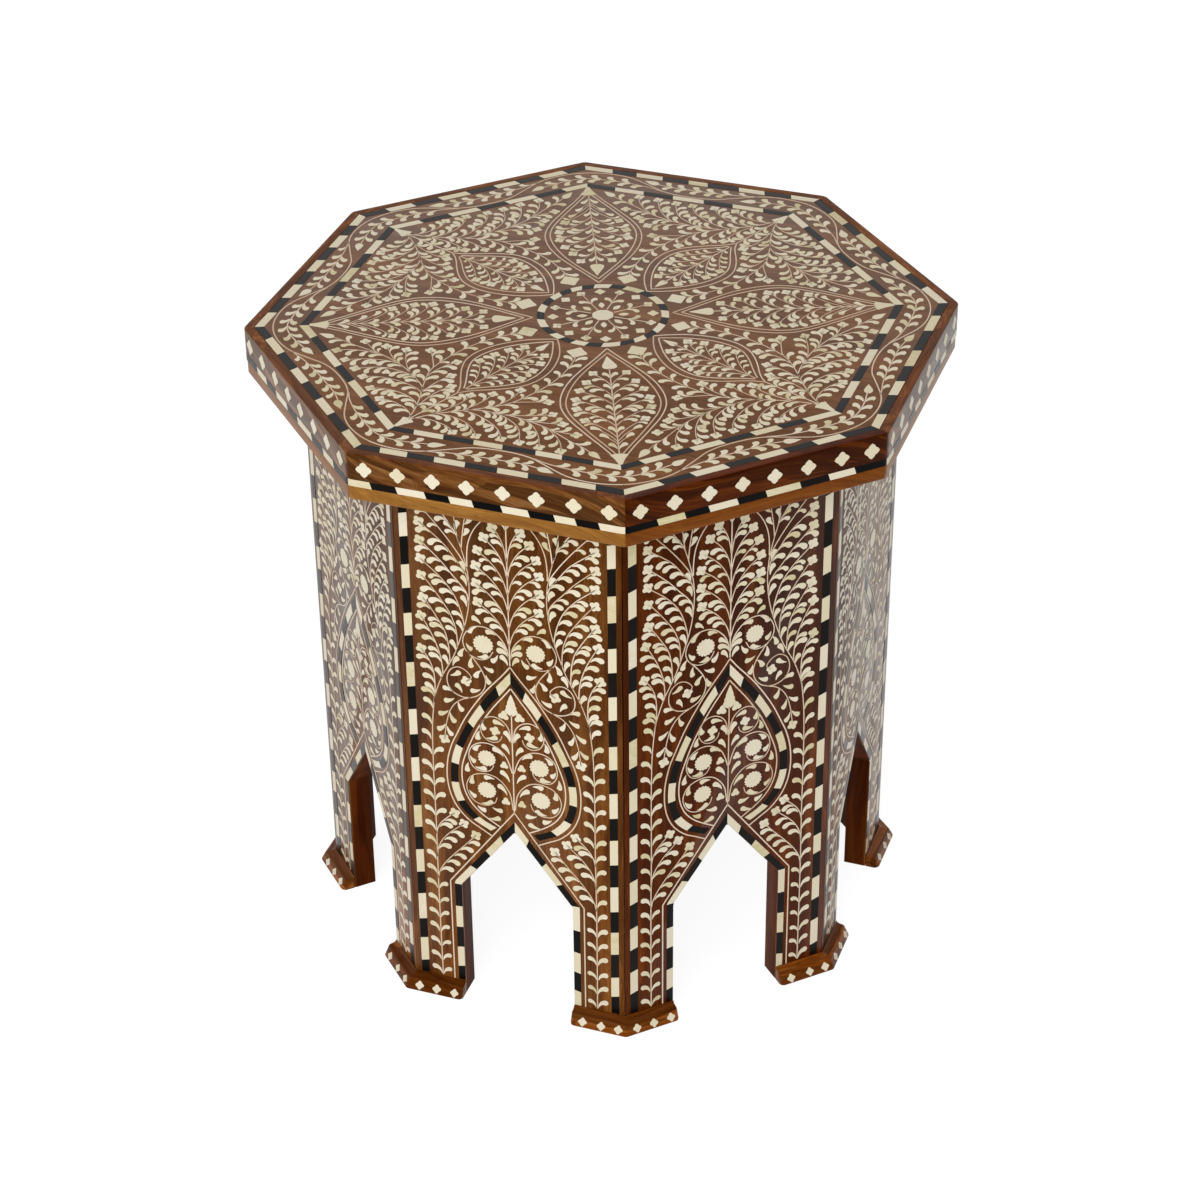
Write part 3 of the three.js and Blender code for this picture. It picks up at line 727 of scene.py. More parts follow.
def blooms(rows, radii):
    """Flowers and rhombs: the radius at equal turns about the middle, as shares of the size in each row (x,
    y, turn, size)."""
    rows = np.asarray(rows, float)
    turn = turns(len(radii))
    x, y = radii * np.cos(turn), radii * np.sin(turn)
    cos, sin = np.cos(rows[:, 2, None]), np.sin(rows[:, 2, None])
    return rows[:, None, :2] + np.stack((x * cos - y * sin, x * sin + y * cos), -1) * rows[:, 3, None, None]


def bud_outline(x0, y0, x1, y1, half_width, kind):
    """A bud along a straight axis, with a half width at each station."""
    stations, widths = (np.array(part)[:, None] for part in BUD_SHAPES[kind])
    tail, way = np.array((x0, y0)), np.array((x1 - x0, y1 - y0))
    middle, side = tail + stations * way, quarter_turn(way) / np.hypot(*way) * widths * half_width
    return np.concatenate((middle - side, (middle + side)[::-1]))


def ribbon(path, half_width):
    """A thin line of the given half width, one value or one for each point of the path."""
    side = headings(path)[1] * np.broadcast_to(half_width, (len(path),))[:, None]
    return np.concatenate((path - side, (path + side)[::-1]))


def shaken(outlines, shift=0.2, size=0.05, turn=4.0):
    """Each outline moved, scaled and turned a little about its own middle, as hand-cut pieces are."""
    middle = outlines.mean(1, keepdims=True)
    count = len(outlines)
    angle = np.radians(chance.normal(0, turn / 2, count))
    scale = chance.normal(1, size / 2, count)
    cos, sin = (np.cos(angle) * scale)[:, None], (np.sin(angle) * scale)[:, None]
    x, y = np.moveaxis(outlines - middle, -1, 0)
    moved = np.stack((x * cos - y * sin, x * sin + y * cos), -1)
    return middle + moved + chance.normal(0, shift / 2, (count, 1, 2))


class Cuttings:
    """What a garden is cut from: groups of outlines with the same number of corners, and the thin lines."""

    def __init__(self, garden):
        self.groups = [leaf_outlines(garden.leaves)] if garden.leaves else []
        for rows, radii in ((garden.stars, STAR_RADII), (garden.sprouts, SPROUT_RADII),
                            (garden.rhombs, SQUARE_RADII), (garden.rosettes, ROSETTE_RADII)):
            if rows:
                self.groups.append(blooms(rows, radii))
        buds = [(bud_outline(*bud[:6])[None], bud[6]) for bud in garden.buds]
        self.groups += [outline for outline, shared in buds if not shared]
        self.shared = [outline for outline, shared in buds if shared]
        self.lines = []
        for stem in garden.stems:
            if not stem["shared"]:
                width = np.linspace(1, stem["taper"], len(stem["path"])) * stem["thick"] * STEM_HALF_WIDTH
                self.lines.append(ribbon(stem["path"], width))
        self.lines += [ribbon(line, LINE_HALF_WIDTH) for line in garden.fine_lines]
        self.shared_lines = [ribbon(s["path"], STEM_HALF_WIDTH) for s in garden.stems if s["shared"]]

    def lay(self, flowers, lines, place, turn=((1, 0), (0, 1)), mirrored=False, shared=True):
        """One copy of the garden, turned or mirrored in its plane, into the solids of the flowers and the
        lines."""
        turn = np.array(turn, float)
        if mirrored:
            turn = np.array(((-1, 0), (0, 1))) @ turn
        for group in self.groups + (self.shared if shared else []):
            cut = shaken(group) @ turn
            # Rosettes are cut from the palest bone
            darkest = 0.35 if cut.shape[1] == len(ROSETTE_RADII) else 0.0
            let_in(flowers, cut, place, chance.uniform(darkest, 1, len(cut)))
        for line in self.lines + (self.shared_lines if shared else []):
            let_in(lines, (line @ turn)[None], place, chance.uniform(0, 1), strips=True)


def ladder(left, right, cuts, slant=0.0, ends=(True, True), stations=8):
    """Slips of stringing between two edge curves, as outlines with one shape each. The cuts are positions
    along the middle; the slant moves a cut forward on the left edge and back on the right. A square end has
    no slant."""
    run = distances((left + right) / 2)
    cuts = np.clip(cuts, 0, run[-1])
    shift = np.full(len(cuts), slant / 2)
    shift[0] *= not ends[0]
    shift[-1] *= not ends[1]
    share = np.linspace(0, 1, stations)
    outlines = []
    for k in range(len(cuts) - 1):
        pair = []
        for curve, way in ((right, -1), (left, 1)):
            low, high = cuts[k] + way * shift[k] + SAW_GAP, cuts[k + 1] + way * shift[k + 1] - SAW_GAP
            pair.append(points_at(low + (high - low) * share, run, curve))
        outlines.append(np.concatenate((pair[0], pair[1][::-1])))
    return np.array(outlines)


def lay_slips(outlines, solids, place, start=0, depth=INLAY_DEPTH):
    """Slips into the bone and ebony solids by turns."""
    for parity in (0, 1):
        chosen = outlines[parity::2]
        tone = chance.uniform(0, 1, len(chosen))
        let_in(solids[(start + parity) % 2], chosen, place, tone, depth, strips=True)


# Materials
def colour(code):
    """Linear red, green, blue and alpha of an sRGB hex value."""
    value = np.array([int(code[k:k + 2], 16) for k in (1, 3, 5)]) / 255
    linear = np.where(value <= 0.04045, value / 12.92, ((value + 0.055) / 1.055) ** 2.4)
    return (*linear.tolist(), 1.0)


def dark_of(stops):
    """A wood's darkest shade at a little over half of its light, for its dark bands and open pores."""
    return tuple(0.55 * part for part in colour(stops[0][1])[:3]) + (1.0,)


def add(tree, kind, inputs=None, stops=None, **settings):
    """A node of this kind with its settings. Each input takes a value, another node's output to link to, or
    another node, whose first output is meant."""
    new = tree.nodes.new("ShaderNode" + kind)
    for name, value in settings.items():
        setattr(new, name, value)
    for name, value in (inputs or {}).items():
        if isinstance(value, bpy.types.Node):
            value = value.outputs[0]
        if isinstance(value, bpy.types.NodeSocket):
            tree.links.new(value, new.inputs[name])
        else:
            new.inputs[name].default_value = value
    if stops:
        ramp = new.color_ramp
        while len(ramp.elements) < len(stops):
            ramp.elements.new(0.5)
        for element, (place, shade) in zip(ramp.elements, stops):
            element.position = place
            element.color = colour(shade)
    return new


def material(name):
    new = bpy.data.materials.new(name)
    new.use_nodes = True
    new.node_tree.nodes.clear()
    return new, new.node_tree


def finish_surface(tree, base, roughness, bump, sockets):
    """The shader and the output, with plain numbers on the shader's own sockets."""
    inputs = {"Base Color": base, "Roughness": roughness, "Normal": bump, **sockets}
    add(tree, "OutputMaterial", {"Surface": add(tree, "BsdfPrincipled", inputs)})


def lacquered_wood(name, stops, streak=7.0, rough=0.3, band=0.5, band_edge=0.035, shares=(0.62, 0.22, 0.16),
                   ior=1.42, tint=0.0, cast=((0.5, 0.26, 0.06), (1.5, 1.74, 1.94)), painted_floor_bounce=1.0,
                   sawn=False):
    """Rosewood or a like hardwood, sawn, planed and lacquered: dark growth bands run along each piece, with
    fine fibres and short open pores, under a clear film that shines softly. The shares are those of the
    broad streaks, the fibres and the clouds in the figure. Lengths in the nodes are millimetres."""
    new, tree = material(name)
    if sawn:
        # Object coordinates are metres, and the grain of a block, which is its x axis here, stands upright
        place = add(tree, "TexCoord").outputs["Object"]
        place = add(tree, "VectorMath", {0: place, 1: (1000.0, 1000.0, 1000.0)}, operation="MULTIPLY")
        unit = add(tree, "Mapping", {"Vector": place, "Rotation": (0, math.pi / 2, 0)})
    else:
        unit = add(tree, "Attribute", attribute_name="grain").outputs["Vector"]
    # The grain wanders sideways by a few millimetres over a hand's length
    wander = add(tree, "Mapping", {"Vector": unit, "Scale": (1 / 110, 1 / 38, 1 / 38)})
    wander = add(tree, "TexNoise", {"Vector": wander, "Scale": 1.0, "Detail": 2.0}).outputs["Color"]
    wander = add(tree, "VectorMath", {0: wander, 1: (0.5, 0.5, 0.5)}, operation="SUBTRACT")
    wander = add(tree, "VectorMath", {0: wander, 1: (0.0, 24.0, 24.0)}, operation="MULTIPLY")
    bent = add(tree, "VectorMath", {0: unit, 1: wander}, operation="ADD")
    # Each noise with its length along the grain and its width across it. Pores, about 0.3 mm wide in the
    # real wood, are drawn at half a millimetre so that they show
    noises = []
    for vector, length, width, start, detail, fall in (
            (bent, 150, streak, (0, 0, 0), 3.0, 0.55), (bent, 45, 1.3, (0, 0, 0), 2.0, 0.6),
            (unit, 90, 45, (0, 0, 0), 1.0, 0.5), (bent, 260, streak * 2.2, (3.1, 5.7, 1.3), 1.0, 0.5),
            (bent, 7.0, 0.5, (0, 0, 0), 0.0, 0.5)):
        scale = (1 / length, 1 / width, 1 / width)
        vector = add(tree, "Mapping", {"Vector": vector, "Scale": scale, "Location": start})
        inputs = {"Vector": vector, "Scale": 1.0, "Detail": detail, "Roughness": fall}
        noises.append(add(tree, "TexNoise", inputs))
    streaks, fibres, clouds, bands, pores = noises
    figure = add(tree, "Math", {0: clouds, 1: shares[2]}, operation="MULTIPLY")
    for noise, share in ((fibres, shares[1]), (streaks, shares[0])):
        figure = add(tree, "Math", {0: noise, 1: share, 2: figure}, operation="MULTIPLY_ADD")
    shade = add(tree, "ValToRGB", {"Fac": figure}, stops=stops)
    # Dark bands lie where their noise is under its middle value, and fade out over the band's edge above it
    above = add(tree, "Math", {0: bands, 1: 0.5}, operation="SUBTRACT")
    dark = add(tree, "MapRange", {0: above, 1: 0.0, 2: band_edge, 3: 1.0, 4: 0.0})
    open_pore = add(tree, "MapRange", {0: pores, 1: 0.66, 2: 0.74, 3: 0.0, 4: 1.0})
    for mark, depth in ((dark, band), (open_pore, 0.45)):
        share = add(tree, "Math", {0: mark, 1: depth}, operation="MULTIPLY")
        shade = add(tree, "Mix", {0: share, 6: shade, 7: dark_of(stops)}, data_type="RGBA").outputs[2]
    sunk = add(tree, "Math", {0: open_pore, 1: 0.8}, operation="MULTIPLY")
    height = add(tree, "Math", {0: fibres, 1: sunk}, operation="SUBTRACT")
    strength, distance = (0.6, 0.0002) if sawn else (0.25, 0.00008)
    bump = add(tree, "Bump", {"Height": height, "Strength": strength, "Distance": distance})
    roughness = add(tree, "MapRange", {0: clouds, 1: 0.3, 2: 0.7, 3: rough - 0.05, 4: rough + 0.07})
    # Factors for the shade: each piece's own tone, and on the panels a painted paling toward the feet that
    # stands in for light from the floor
    lights = []
    if not sawn:
        # No two boards are alike: a piece's tone runs from dark and red to pale and yellow
        tone = add(tree, "Attribute", attribute_name="tone").outputs["Fac"]
        casts = {0: tone, 6: (*cast[0], 1.0), 7: (*cast[1], 1.0)}
        lights.append(add(tree, "Mix", casts, data_type="RGBA").outputs[2])
    if painted_floor_bounce > 1:
        # Painted light: the boards are painted paler toward the feet, standing in for light thrown up from
        # the floor; heights here are metres
        up = add(tree, "SeparateXYZ", {0: add(tree, "TexCoord").outputs["Object"]}).outputs["Z"]
        lights.append(add(tree, "MapRange", {0: up, 1: 0.04, 2: 0.3, 3: painted_floor_bounce, 4: 1.0}))
    for light in lights:
        shade = add(tree, "Mix", {0: 1.0, 6: shade, 7: light}, data_type="RGBA", blend_type="MULTIPLY")
        shade = shade.outputs[2]
    finish_surface(tree, shade, roughness, bump, {"IOR": ior, "Specular Tint": (tint, tint, tint, 1.0)})
    return new


def inlaid(name, stops, rough, tint=0.0, mottle=0.35, ripple=0.00005, ior=1.46):
    """Bone or ebony slips, sawn thin, let in and polished level: each slip has its own tone, with faint
    streaks 9 mm long and 1.6 mm wide that run another way in each, and soft clouds of about 6 mm."""
    new, tree = material(name)
    tone = add(tree, "Attribute", attribute_name="tone").outputs["Fac"]
    unit = add(tree, "Attribute", attribute_name="grain").outputs["Vector"]
    angle = add(tree, "Math", {0: tone, 1: 3.0}, operation="MULTIPLY")
    turn = {"Vector": unit, "Axis": (0, 0, 1), "Angle": angle}
    place = add(tree, "VectorRotate", turn, rotation_type="AXIS_ANGLE")
    place = add(tree, "Mapping", {"Vector": place, "Scale": (1 / 9, 1 / 1.6, 1 / 1.6)})
    streaks = add(tree, "TexNoise", {"Vector": place, "Scale": 1.0, "Detail": 3.0})
    clouds = add(tree, "TexNoise", {"Vector": unit, "Scale": 0.16, "Detail": 2.0})
    for noise in (streaks, clouds):
        above = add(tree, "Math", {0: noise, 1: 0.5}, operation="SUBTRACT")
        tone = add(tree, "Math", {0: above, 1: mottle, 2: tone}, operation="MULTIPLY_ADD")
    shade = add(tree, "ValToRGB", {"Fac": tone}, stops=stops)
    bump = add(tree, "Bump", {"Height": streaks, "Strength": 0.3, "Distance": ripple})
    roughness = add(tree, "MapRange", {0: streaks, 1: 0.3, 2: 0.7, 3: rough - 0.04, 4: rough + 0.06})
    finish_surface(tree, shade, roughness, bump, {"IOR": ior, "Specular Tint": (tint, tint, tint, 1.0)})
    return new


def screw_steel():
    """Drawn steel wire, cut and left bright: fine turned marks round the shank, and a soft grey shine. The
    marks are 3 mm long and a sixth of a millimetre apart; lengths in the nodes are metres."""
    new, tree = material("bright screw steel")
    place = add(tree, "TexCoord").outputs["Object"]
    place = add(tree, "Mapping", {"Vector": place, "Scale": (300.0, 300.0, 6000.0)})
    marks = add(tree, "TexNoise", {"Vector": place, "Scale": 1.0, "Detail": 2.0})
    shade = add(tree, "ValToRGB", {"Fac": marks}, stops=((0.3, "#8f8e8b"), (0.7, "#b9b8b4")))
    bump = add(tree, "Bump", {"Height": marks, "Strength": 0.3, "Distance": 0.00005})
    roughness = add(tree, "MapRange", {0: marks, 1: 0.3, 2: 0.7, 3: 0.28, 4: 0.42})
    finish_surface(tree, shade, roughness, bump, {"Metallic": 1.0})
    return new


# Wide boards show their figure in four shades, and narrow edgings in five
TOP_WOOD = lacquered_wood(
    "satin rosewood top", ((0.3, "#5e351b"), (0.44, "#754a29"), (0.56, "#865734"), (0.7, "#9b6c44")),
    streak=9, rough=0.38, band=0.3, shares=(0.4, 0.4, 0.2), tint=0.1, ior=1.38)
# The panels are painted paler toward their feet, a painted stand-in for light thrown up from the floor
PANEL_WOOD = lacquered_wood(
    "lacquered rosewood panels", ((0.3, "#401e06"), (0.43, "#582f0e"), (0.55, "#6b4017"), (0.7, "#875a2b")),
    streak=8, rough=0.26, shares=(0.5, 0.34, 0.16), cast=((0.58, 0.27, 0.04), (1.42, 1.73, 1.96)),
    painted_floor_bounce=1.65)
INNER_WOOD = lacquered_wood(
    "oiled rosewood inside the base",
    ((0.3, "#3a1404"), (0.43, "#552207"), (0.55, "#66300d"), (0.7, "#7c4018")),
    streak=8, rough=0.6, ior=1.16, cast=((0.95, 0.9, 0.8), (1.05, 1.1, 1.2)))
NARROW = dict(streak=3.4, band_edge=0.014, shares=(0.5, 0.34, 0.16))
EDGE_WOOD = lacquered_wood(
    "lacquered rosewood edging",
    ((0.32, "#4a2609"), (0.43, "#613714"), (0.5, "#70451e"), (0.57, "#83582f"), (0.7, "#9a6f42")),
    band=0.7, ior=1.34, **NARROW)
RIM_WOOD = lacquered_wood(
    "waxed rosewood rim",
    ((0.32, "#542a10"), (0.43, "#6d3a18"), (0.5, "#7b441e"), (0.57, "#8b5329"), (0.7, "#9e693d")),
    rough=0.46, ior=1.25, **NARROW)
# The feet's shades are painted paler than the edgings' wood, standing in for light that the overhang and the
# base keep off them
FOOT_WOOD = lacquered_wood(
    "lacquered rosewood feet",
    ((0.32, "#4e2408"), (0.43, "#7c410f"), (0.5, "#8f5018"), (0.57, "#a0602b"), (0.7, "#b07440")),
    band=0.6, ior=1.38, **NARROW)
APRON_WOOD = lacquered_wood(
    "lacquered sheesham moulding", ((0.3, "#7a4c1c"), (0.44, "#95632b"), (0.56, "#a57233"), (0.7, "#b98646")),
    streak=4, band=0.2, rough=0.34, shares=(0.45, 0.4, 0.15))
SAWN_WOOD = lacquered_wood(
    "sawn mango wood", ((0.3, "#8d6a42"), (0.45, "#a98355"), (0.56, "#b99465"), (0.7, "#c9a879")),
    streak=10, band=0.2, rough=0.75, tint=1.0, sawn=True)
BONE = inlaid(
    "polished bone",
    ((0.0, "#d5c89c"), (0.12, "#e0d4b2"), (0.5, "#e6dbbe"), (0.9, "#ebe1ca"), (1.0, "#e6d8bc")), 0.3)
BONE_LINE = inlaid("thin bone line", ((0.0, "#d9bfa0"), (0.5, "#e3ccb0"), (1.0, "#ebd9c3")), 0.36)
TOP_BONE = inlaid(
    "satin bone",
    ((0.0, "#decfa2"), (0.12, "#efe1bc"), (0.5, "#f5e8c8"), (0.9, "#f8ecd2"), (1.0, "#f3e3c6")), 0.38,
    tint=0.1, ior=1.4)
TOP_LINE = inlaid(
    "thin satin bone line", ((0.0, "#dcbfa0"), (0.5, "#e8cfb2"), (1.0, "#f0dcc6")), 0.4, tint=0.1, ior=1.4)
EBONY = inlaid(
    "polished ebony", ((0.0, "#060606"), (0.6, "#0b0a0a"), (1.0, "#140f0d")), 0.3, mottle=0.2,
    ripple=0.00001, ior=1.34)
SIDE_EBONY = inlaid(
    "gloss ebony", ((0.0, "#070605"), (0.6, "#0c0a08"), (1.0, "#15100c")), 0.3, mottle=0.2,
    ripple=0.00001, ior=1.48)
# The hidden members keep the CAD's shapes and only get their finish
for prefix, finish in (("corner_block", SAWN_WOOD), ("top_cleat", SAWN_WOOD), ("top_screw", screw_steel())):
    for number in range(1, SIDES + 1):
        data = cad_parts[f"{prefix}_{number}"].data
        data.materials.clear()
        data.materials.append(finish)


# Wooden members

# The side to the front right is of darker wood than the one to the front left; the others vary a little
WOOD_TONES = (0.48, 0.1, 0.42, 0.55, 0.4, 0.58, 0.44, 0.47)
LIPPING_TONES = (0.48, 0.0, 0.54, 0.57, 0.5, 0.58, 0.58, 0.68)
APRON_TONES = (0.5, 0.08, 0.34, 0.5, 0.4, 0.5, 0.3, 0.25)
# The first is how far the grain has climbed at a lipping's end, which is the second from its middle
GRAIN_RUNOUT, GRAIN_REACH = 22.0, 95.0
GRAIN_SPAN = 900.0  # each board starts at its own place in the grain, this far off at most


def own_grain(points):
    return points + chance.uniform(-GRAIN_SPAN, GRAIN_SPAN, 3)


def rounded(corners, radii):
    """A polygon whose corners are turned with the given radii: at each, an arc from one side to the next."""
    corners = np.asarray(corners, float)
    out = []
    for k, radius in enumerate(radii):
        here, before, after = corners[k], corners[k - 1], corners[(k + 1) % len(corners)]
        if radius <= 0:
            out.append(here[None])
            continue
        one, two = (before - here) / np.hypot(*(before - here)), (after - here) / np.hypot(*(after - here))
        half = math.acos(np.clip(one @ two, -1, 1)) / 2
        middle = here + (one + two) / np.hypot(*(one + two)) * radius / math.sin(half)
        start, end = here + one * radius / math.tan(half), here + two * radius / math.tan(half)
        turn = np.linspace(0, 1, ARC_POINTS)[:, None]
        arc = (start - middle) * (1 - turn) + (end - middle) * turn
        out.append(middle + arc / np.linalg.norm(arc, axis=1, keepdims=True) * radius)
    return np.vstack(out)


def edge_member(name, number, section, apothem, finish, slot, tone):
    """A lipping or an apron: its section (height over the apothem, height) carried round to both mitres,
    with its rows close together where it rounds a corner."""
    rows = np.concatenate((np.linspace(-CORNER_END, -CORNER_START, 6),
                           np.linspace(-CORNER_START, CORNER_START, 24)[1:-1],
                           np.linspace(CORNER_START, CORNER_END, 6)))
    grid = np.zeros((len(rows), len(section), 3))
    grid[..., 0], grid[..., 1], grid[..., 2] = rows[:, None], section[:, 1], section[:, 0]
    points, faces = tube(wrapped(number, apothem)(grid))
    out, right = side_vectors(number)
    # The board's grain runs out through its edge towards the right end
    along = points @ right
    climb = GRAIN_RUNOUT * np.clip(along / GRAIN_REACH, -1, 1) ** 3
    solid = Solid()
    solid.add(points, faces, tone, own_grain(np.stack((along, points[:, 2] + climb, points @ out), 1)))
    return solid.piece(f"{name}_wood_{number}", finish, slot, [f"{name}_{number}"])


def edge_members(number):
    inside, bottom, top = LIPPING_INSIDE - TOP_APOTHEM, BOARD_UNDERSIDE + JOINT, TABLE_HEIGHT - RIM_DROP
    section = rounded(((inside, bottom), (-WOOD_DROP, bottom), (-WOOD_DROP, top), (inside, top)),
                      (0.2, 0.5, 1.0, 0.25))
    lipping = edge_member("edge_lipping", number, section, TOP_APOTHEM, EDGE_WOOD, "edge_wood",
                          LIPPING_TONES[number - 1])
    # The lipping's top was waxed with the board, from the middle of one arris to that of the other
    lipping.data.materials.append(RIM_WOOD)
    outer, inner = (corner * ARC_POINTS + ARC_POINTS // 2 for corner in (2, 3))
    face = np.arange(len(lipping.data.polygons))
    spot = face % len(section)
    waxed = (spot >= outer) & (spot <= inner) & (face < len(face) - 2)
    lipping.data.polygons.foreach_set("material_index", waxed.astype(np.int32))
    inside = FOOT_INSIDE - APRON_APOTHEM
    section = rounded(((inside, APRON_BOTTOM), (0, APRON_BOTTOM), (0, APRON_TOP), (inside, APRON_TOP)),
                      (0.3, 1.0, 0.5, 0))
    edge_member("apron_moulding", number, section, APRON_APOTHEM, APRON_WOOD, "apron_wood",
                APRON_TONES[number - 1])


def top_board():
    """The octagonal board: an outline with eased edges, from the underside up."""
    corners = np.radians(np.arange(SIDES) * SIDE_TURN - FIRST_CORNER)
    rows = []
    for height, inset in ((BOARD_UNDERSIDE, 0.5), (BOARD_UNDERSIDE + 0.5, 0.0), (TABLE_HEIGHT - 0.45, 0.0),
                          (TABLE_HEIGHT - 0.2, 0.1), (TABLE_HEIGHT - WOOD_DROP, 0.35)):
        reach = (BOARD_APOTHEM - inset) / math.cos(HALF_ANGLE)
        x, y = reach * np.cos(corners), reach * np.sin(corners)
        rows.append(np.column_stack((x, y, np.full(SIDES, height))))
    solid = Solid()
    solid.add(*tube(np.array(rows), clockwise=True))
    solid.piece("top_board_wood", TOP_WOOD, "top_wood",
                ["top_board", "outer_top_stringing", "inner_top_stringing", "centre_ring_stringing"])


def side_panel(number):
    """A panel: its outline, with the arch let into the foot, at several depths. At the faces the outline
    draws in for an eased arris, and towards the back its mitred ends draw in with the depth."""
    levels = ((-PANEL_THICKNESS, 0.5), (-PANEL_THICKNESS + 0.5, 0), (-1.0 - WOOD_DROP, 0),
              (-0.62 - WOOD_DROP, 0.07), (-0.29 - WOOD_DROP, 0.29), (-0.07 - WOOD_DROP, 0.62),
              (-WOOD_DROP, 1.0))
    tip = ARCH_APEX - ARCH_TIP_DROP
    arch = np.array(((-ARCH_HALF_WIDTH, 0), (-ARCH_HALF_WIDTH, ARCH_SPRING), (-ARCH_TIP, tip),
                     (ARCH_TIP, tip), (ARCH_HALF_WIDTH, ARCH_SPRING), (ARCH_HALF_WIDTH, 0)))
    # The arch's edge is eased outwards, away from the opening
    outwards = np.array(((-1, 0), (-1, 0), (-0.3, 1), (0.3, 1), (1, 0), (1, 0)))
    rows = []
    for depth, inset in levels:
        half = (BASE_APOTHEM + depth) * math.tan(HALF_ANGLE) - JOINT / math.cos(HALF_ANGLE) - inset * 0.35
        ends = ((half, 0), (half, PANEL_TOP), (-half, PANEL_TOP), (-half, 0))
        outline = np.vstack((ends, arch + inset * 0.4 * outwards))
        rows.append(np.column_stack((outline, np.full(len(outline), depth))))
    points, faces = tube(np.array(rows), clockwise=True)
    solid = Solid()
    solid.add(side_plane(number, BASE_APOTHEM).at(points), faces, WOOD_TONES[number - 1],
              own_grain(points[:, (1, 0, 2)]))
    panel = solid.piece(f"side_panel_wood_{number}", PANEL_WOOD, "panel_wood", [f"side_panel_{number}"])
    # The back and, in the two deepest rows of walls, the sides of the arch were only oiled
    panel.data.materials.append(INNER_WOOD)
    oiled = np.zeros(len(panel.data.polygons), np.int32)
    wall = np.arange(len(outline))
    oiled[:2 * len(outline)] = np.tile((wall >= len(ends)) & (wall < len(outline) - 1), 2)
    oiled[len(faces[0])] = 1
    panel.data.polygons.foreach_set("material_index", oiled)


def foot_section():
    """The section of a foot's moulding, as apothem and height: a leaning nose, and over it a hollow that is a
    quarter of an ellipse, flat where it leaves the nose and upright at the panel."""
    up = np.array((-math.sin(NOSE_LEAN), math.cos(NOSE_LEAN)))
    middle = NOSE_MIDDLE + WOOD_DROP * quarter_turn(up)
    toe, brow = middle - up * middle[1] / up[1], middle + up * NOSE_REACH
    x, y = brow + (-1.4, 0.2)
    turn = np.linspace(0, math.pi / 2, 7)
    hollow = np.column_stack((x - (x - FOOT_INSIDE - 0.2) * np.sin(turn),
                              y + (FOOT_TOP - y) * (1 - np.cos(turn))))
    corners = np.vstack(((FOOT_INSIDE, 0), toe, brow, hollow, (FOOT_INSIDE, FOOT_TOP)))
    return rounded(corners, (0, 1.5, 1.3) + (0,) * (len(hollow) + 1))


def foot_moulding(number):
    """A foot's moulding: its section carried from one arch's edge round the corner to the next. The nose
    goes round the corner on an arc, and at its two ends it draws back as a quarter of a circle falls short
    of its square."""
    section = foot_section()
    start = FOOT_CORNER_CENTRE * math.tan(HALF_ANGLE)
    end = start + FOOT_CORNER_RADIUS * HALF_ANGLE
    first = ARCH_HALF_WIDTH + FOOT_END_RADIUS * (1 - np.cos(np.linspace(0, math.pi / 2, 6)))
    along = np.concatenate((first, np.linspace(first[-1], start, 10)[1:], np.linspace(start, end, 6)[1:]))
    along = along[:, None]
    left = np.clip(FOOT_END_RADIUS - (along - ARCH_HALF_WIDTH), 0, None)
    drawn_back = FOOT_END_RADIUS - np.sqrt(FOOT_END_RADIUS**2 - left**2)
    depth = section[:, 0].max() - FOOT_INSIDE
    over = FOOT_INSIDE + (section[None, :, 0] - FOOT_INSIDE) * (1 - drawn_back / depth)
    past = np.clip(along - start, 0, None) / FOOT_CORNER_RADIUS
    reach = over - FOOT_CORNER_CENTRE
    share = (along - ARCH_HALF_WIDTH) / (end - ARCH_HALF_WIDTH)
    x = np.where(reach >= 0, np.minimum(along, start) + reach * np.sin(past),
                 ARCH_HALF_WIDTH + share * (over * math.tan(HALF_ANGLE) - ARCH_HALF_WIDTH))
    y = np.where(reach >= 0, FOOT_CORNER_CENTRE + reach * np.cos(past), over)
    heights = np.broadcast_to(section[:, 1], x.shape)
    halves, grains = [], []
    for way, side in ((1, number), (-1, number % SIDES + 1)):
        halves.append(from_side(side, x * way, y, heights)[::way])
        grains.append(np.stack((np.broadcast_to(way * (along - end), x.shape), heights, over), -1)[::way])
    rows, grain = (np.concatenate((pair[0], pair[1][1:])) for pair in (halves, grains))
    solid = Solid()
    solid.add(*tube(rows), chance.uniform(0.3, 0.5), own_grain(grain.reshape(-1, 3)))
    solid.piece(f"foot_moulding_wood_{number}", FOOT_WOOD, "edge_wood", [f"foot_moulding_{number}"])


for number in range(1, SIDES + 1):
    edge_members(number)
top_board()
for number in range(1, SIDES + 1):
    side_panel(number)
for number in range(1, SIDES + 1):
    foot_moulding(number)


# Inlay of the panels

# Stringing up both edges of a panel: how far from its middle the slips start and end, and their lowest and
# highest place. The joints rise by the pitch from the lowest, whose height is given for the left edge and
# for the right, and wander a little
EDGE_SLIPS = (68.8, 74.6)
EDGE_SLIPS_LOW, EDGE_SLIPS_HIGH = 11.2, 423.4
SLIP_PITCH, SLIP_WANDER, SHORTEST_SLIP = 19.75, 0.8, 4
MOST_JOINTS = 21
FIRST_CUTS = {1: (22.1, 25.3), 2: (29.0, 23.4)}
# Stringing round the arch: its two edges from the apex down the right side, and its joints as distances
# along its middle, over the kink at the spring and then under it
ARCH_SLIPS_INSIDE = np.array(((0.0, ARCH_APEX + 0.4), (41.3, ARCH_SPRING + 0.3), (41.3, EDGE_SLIPS_LOW)))
ARCH_SLIPS_OUTSIDE = np.array(((0.0, 162.4), (46.3, 99.6), (46.3, EDGE_SLIPS_LOW)))
ARCH_JOINTS_OVER, ARCH_JOINTS_UNDER = (0, 15.5, 34.5, 53), (0, 20.6, 39, 57.5, 75.5)
# Joints of the medallion's band, from its tip down
BAND_JOINTS = np.array((0, 16.5, 36, 55, 74, 91, 107, 123, 138.5, 153.1))


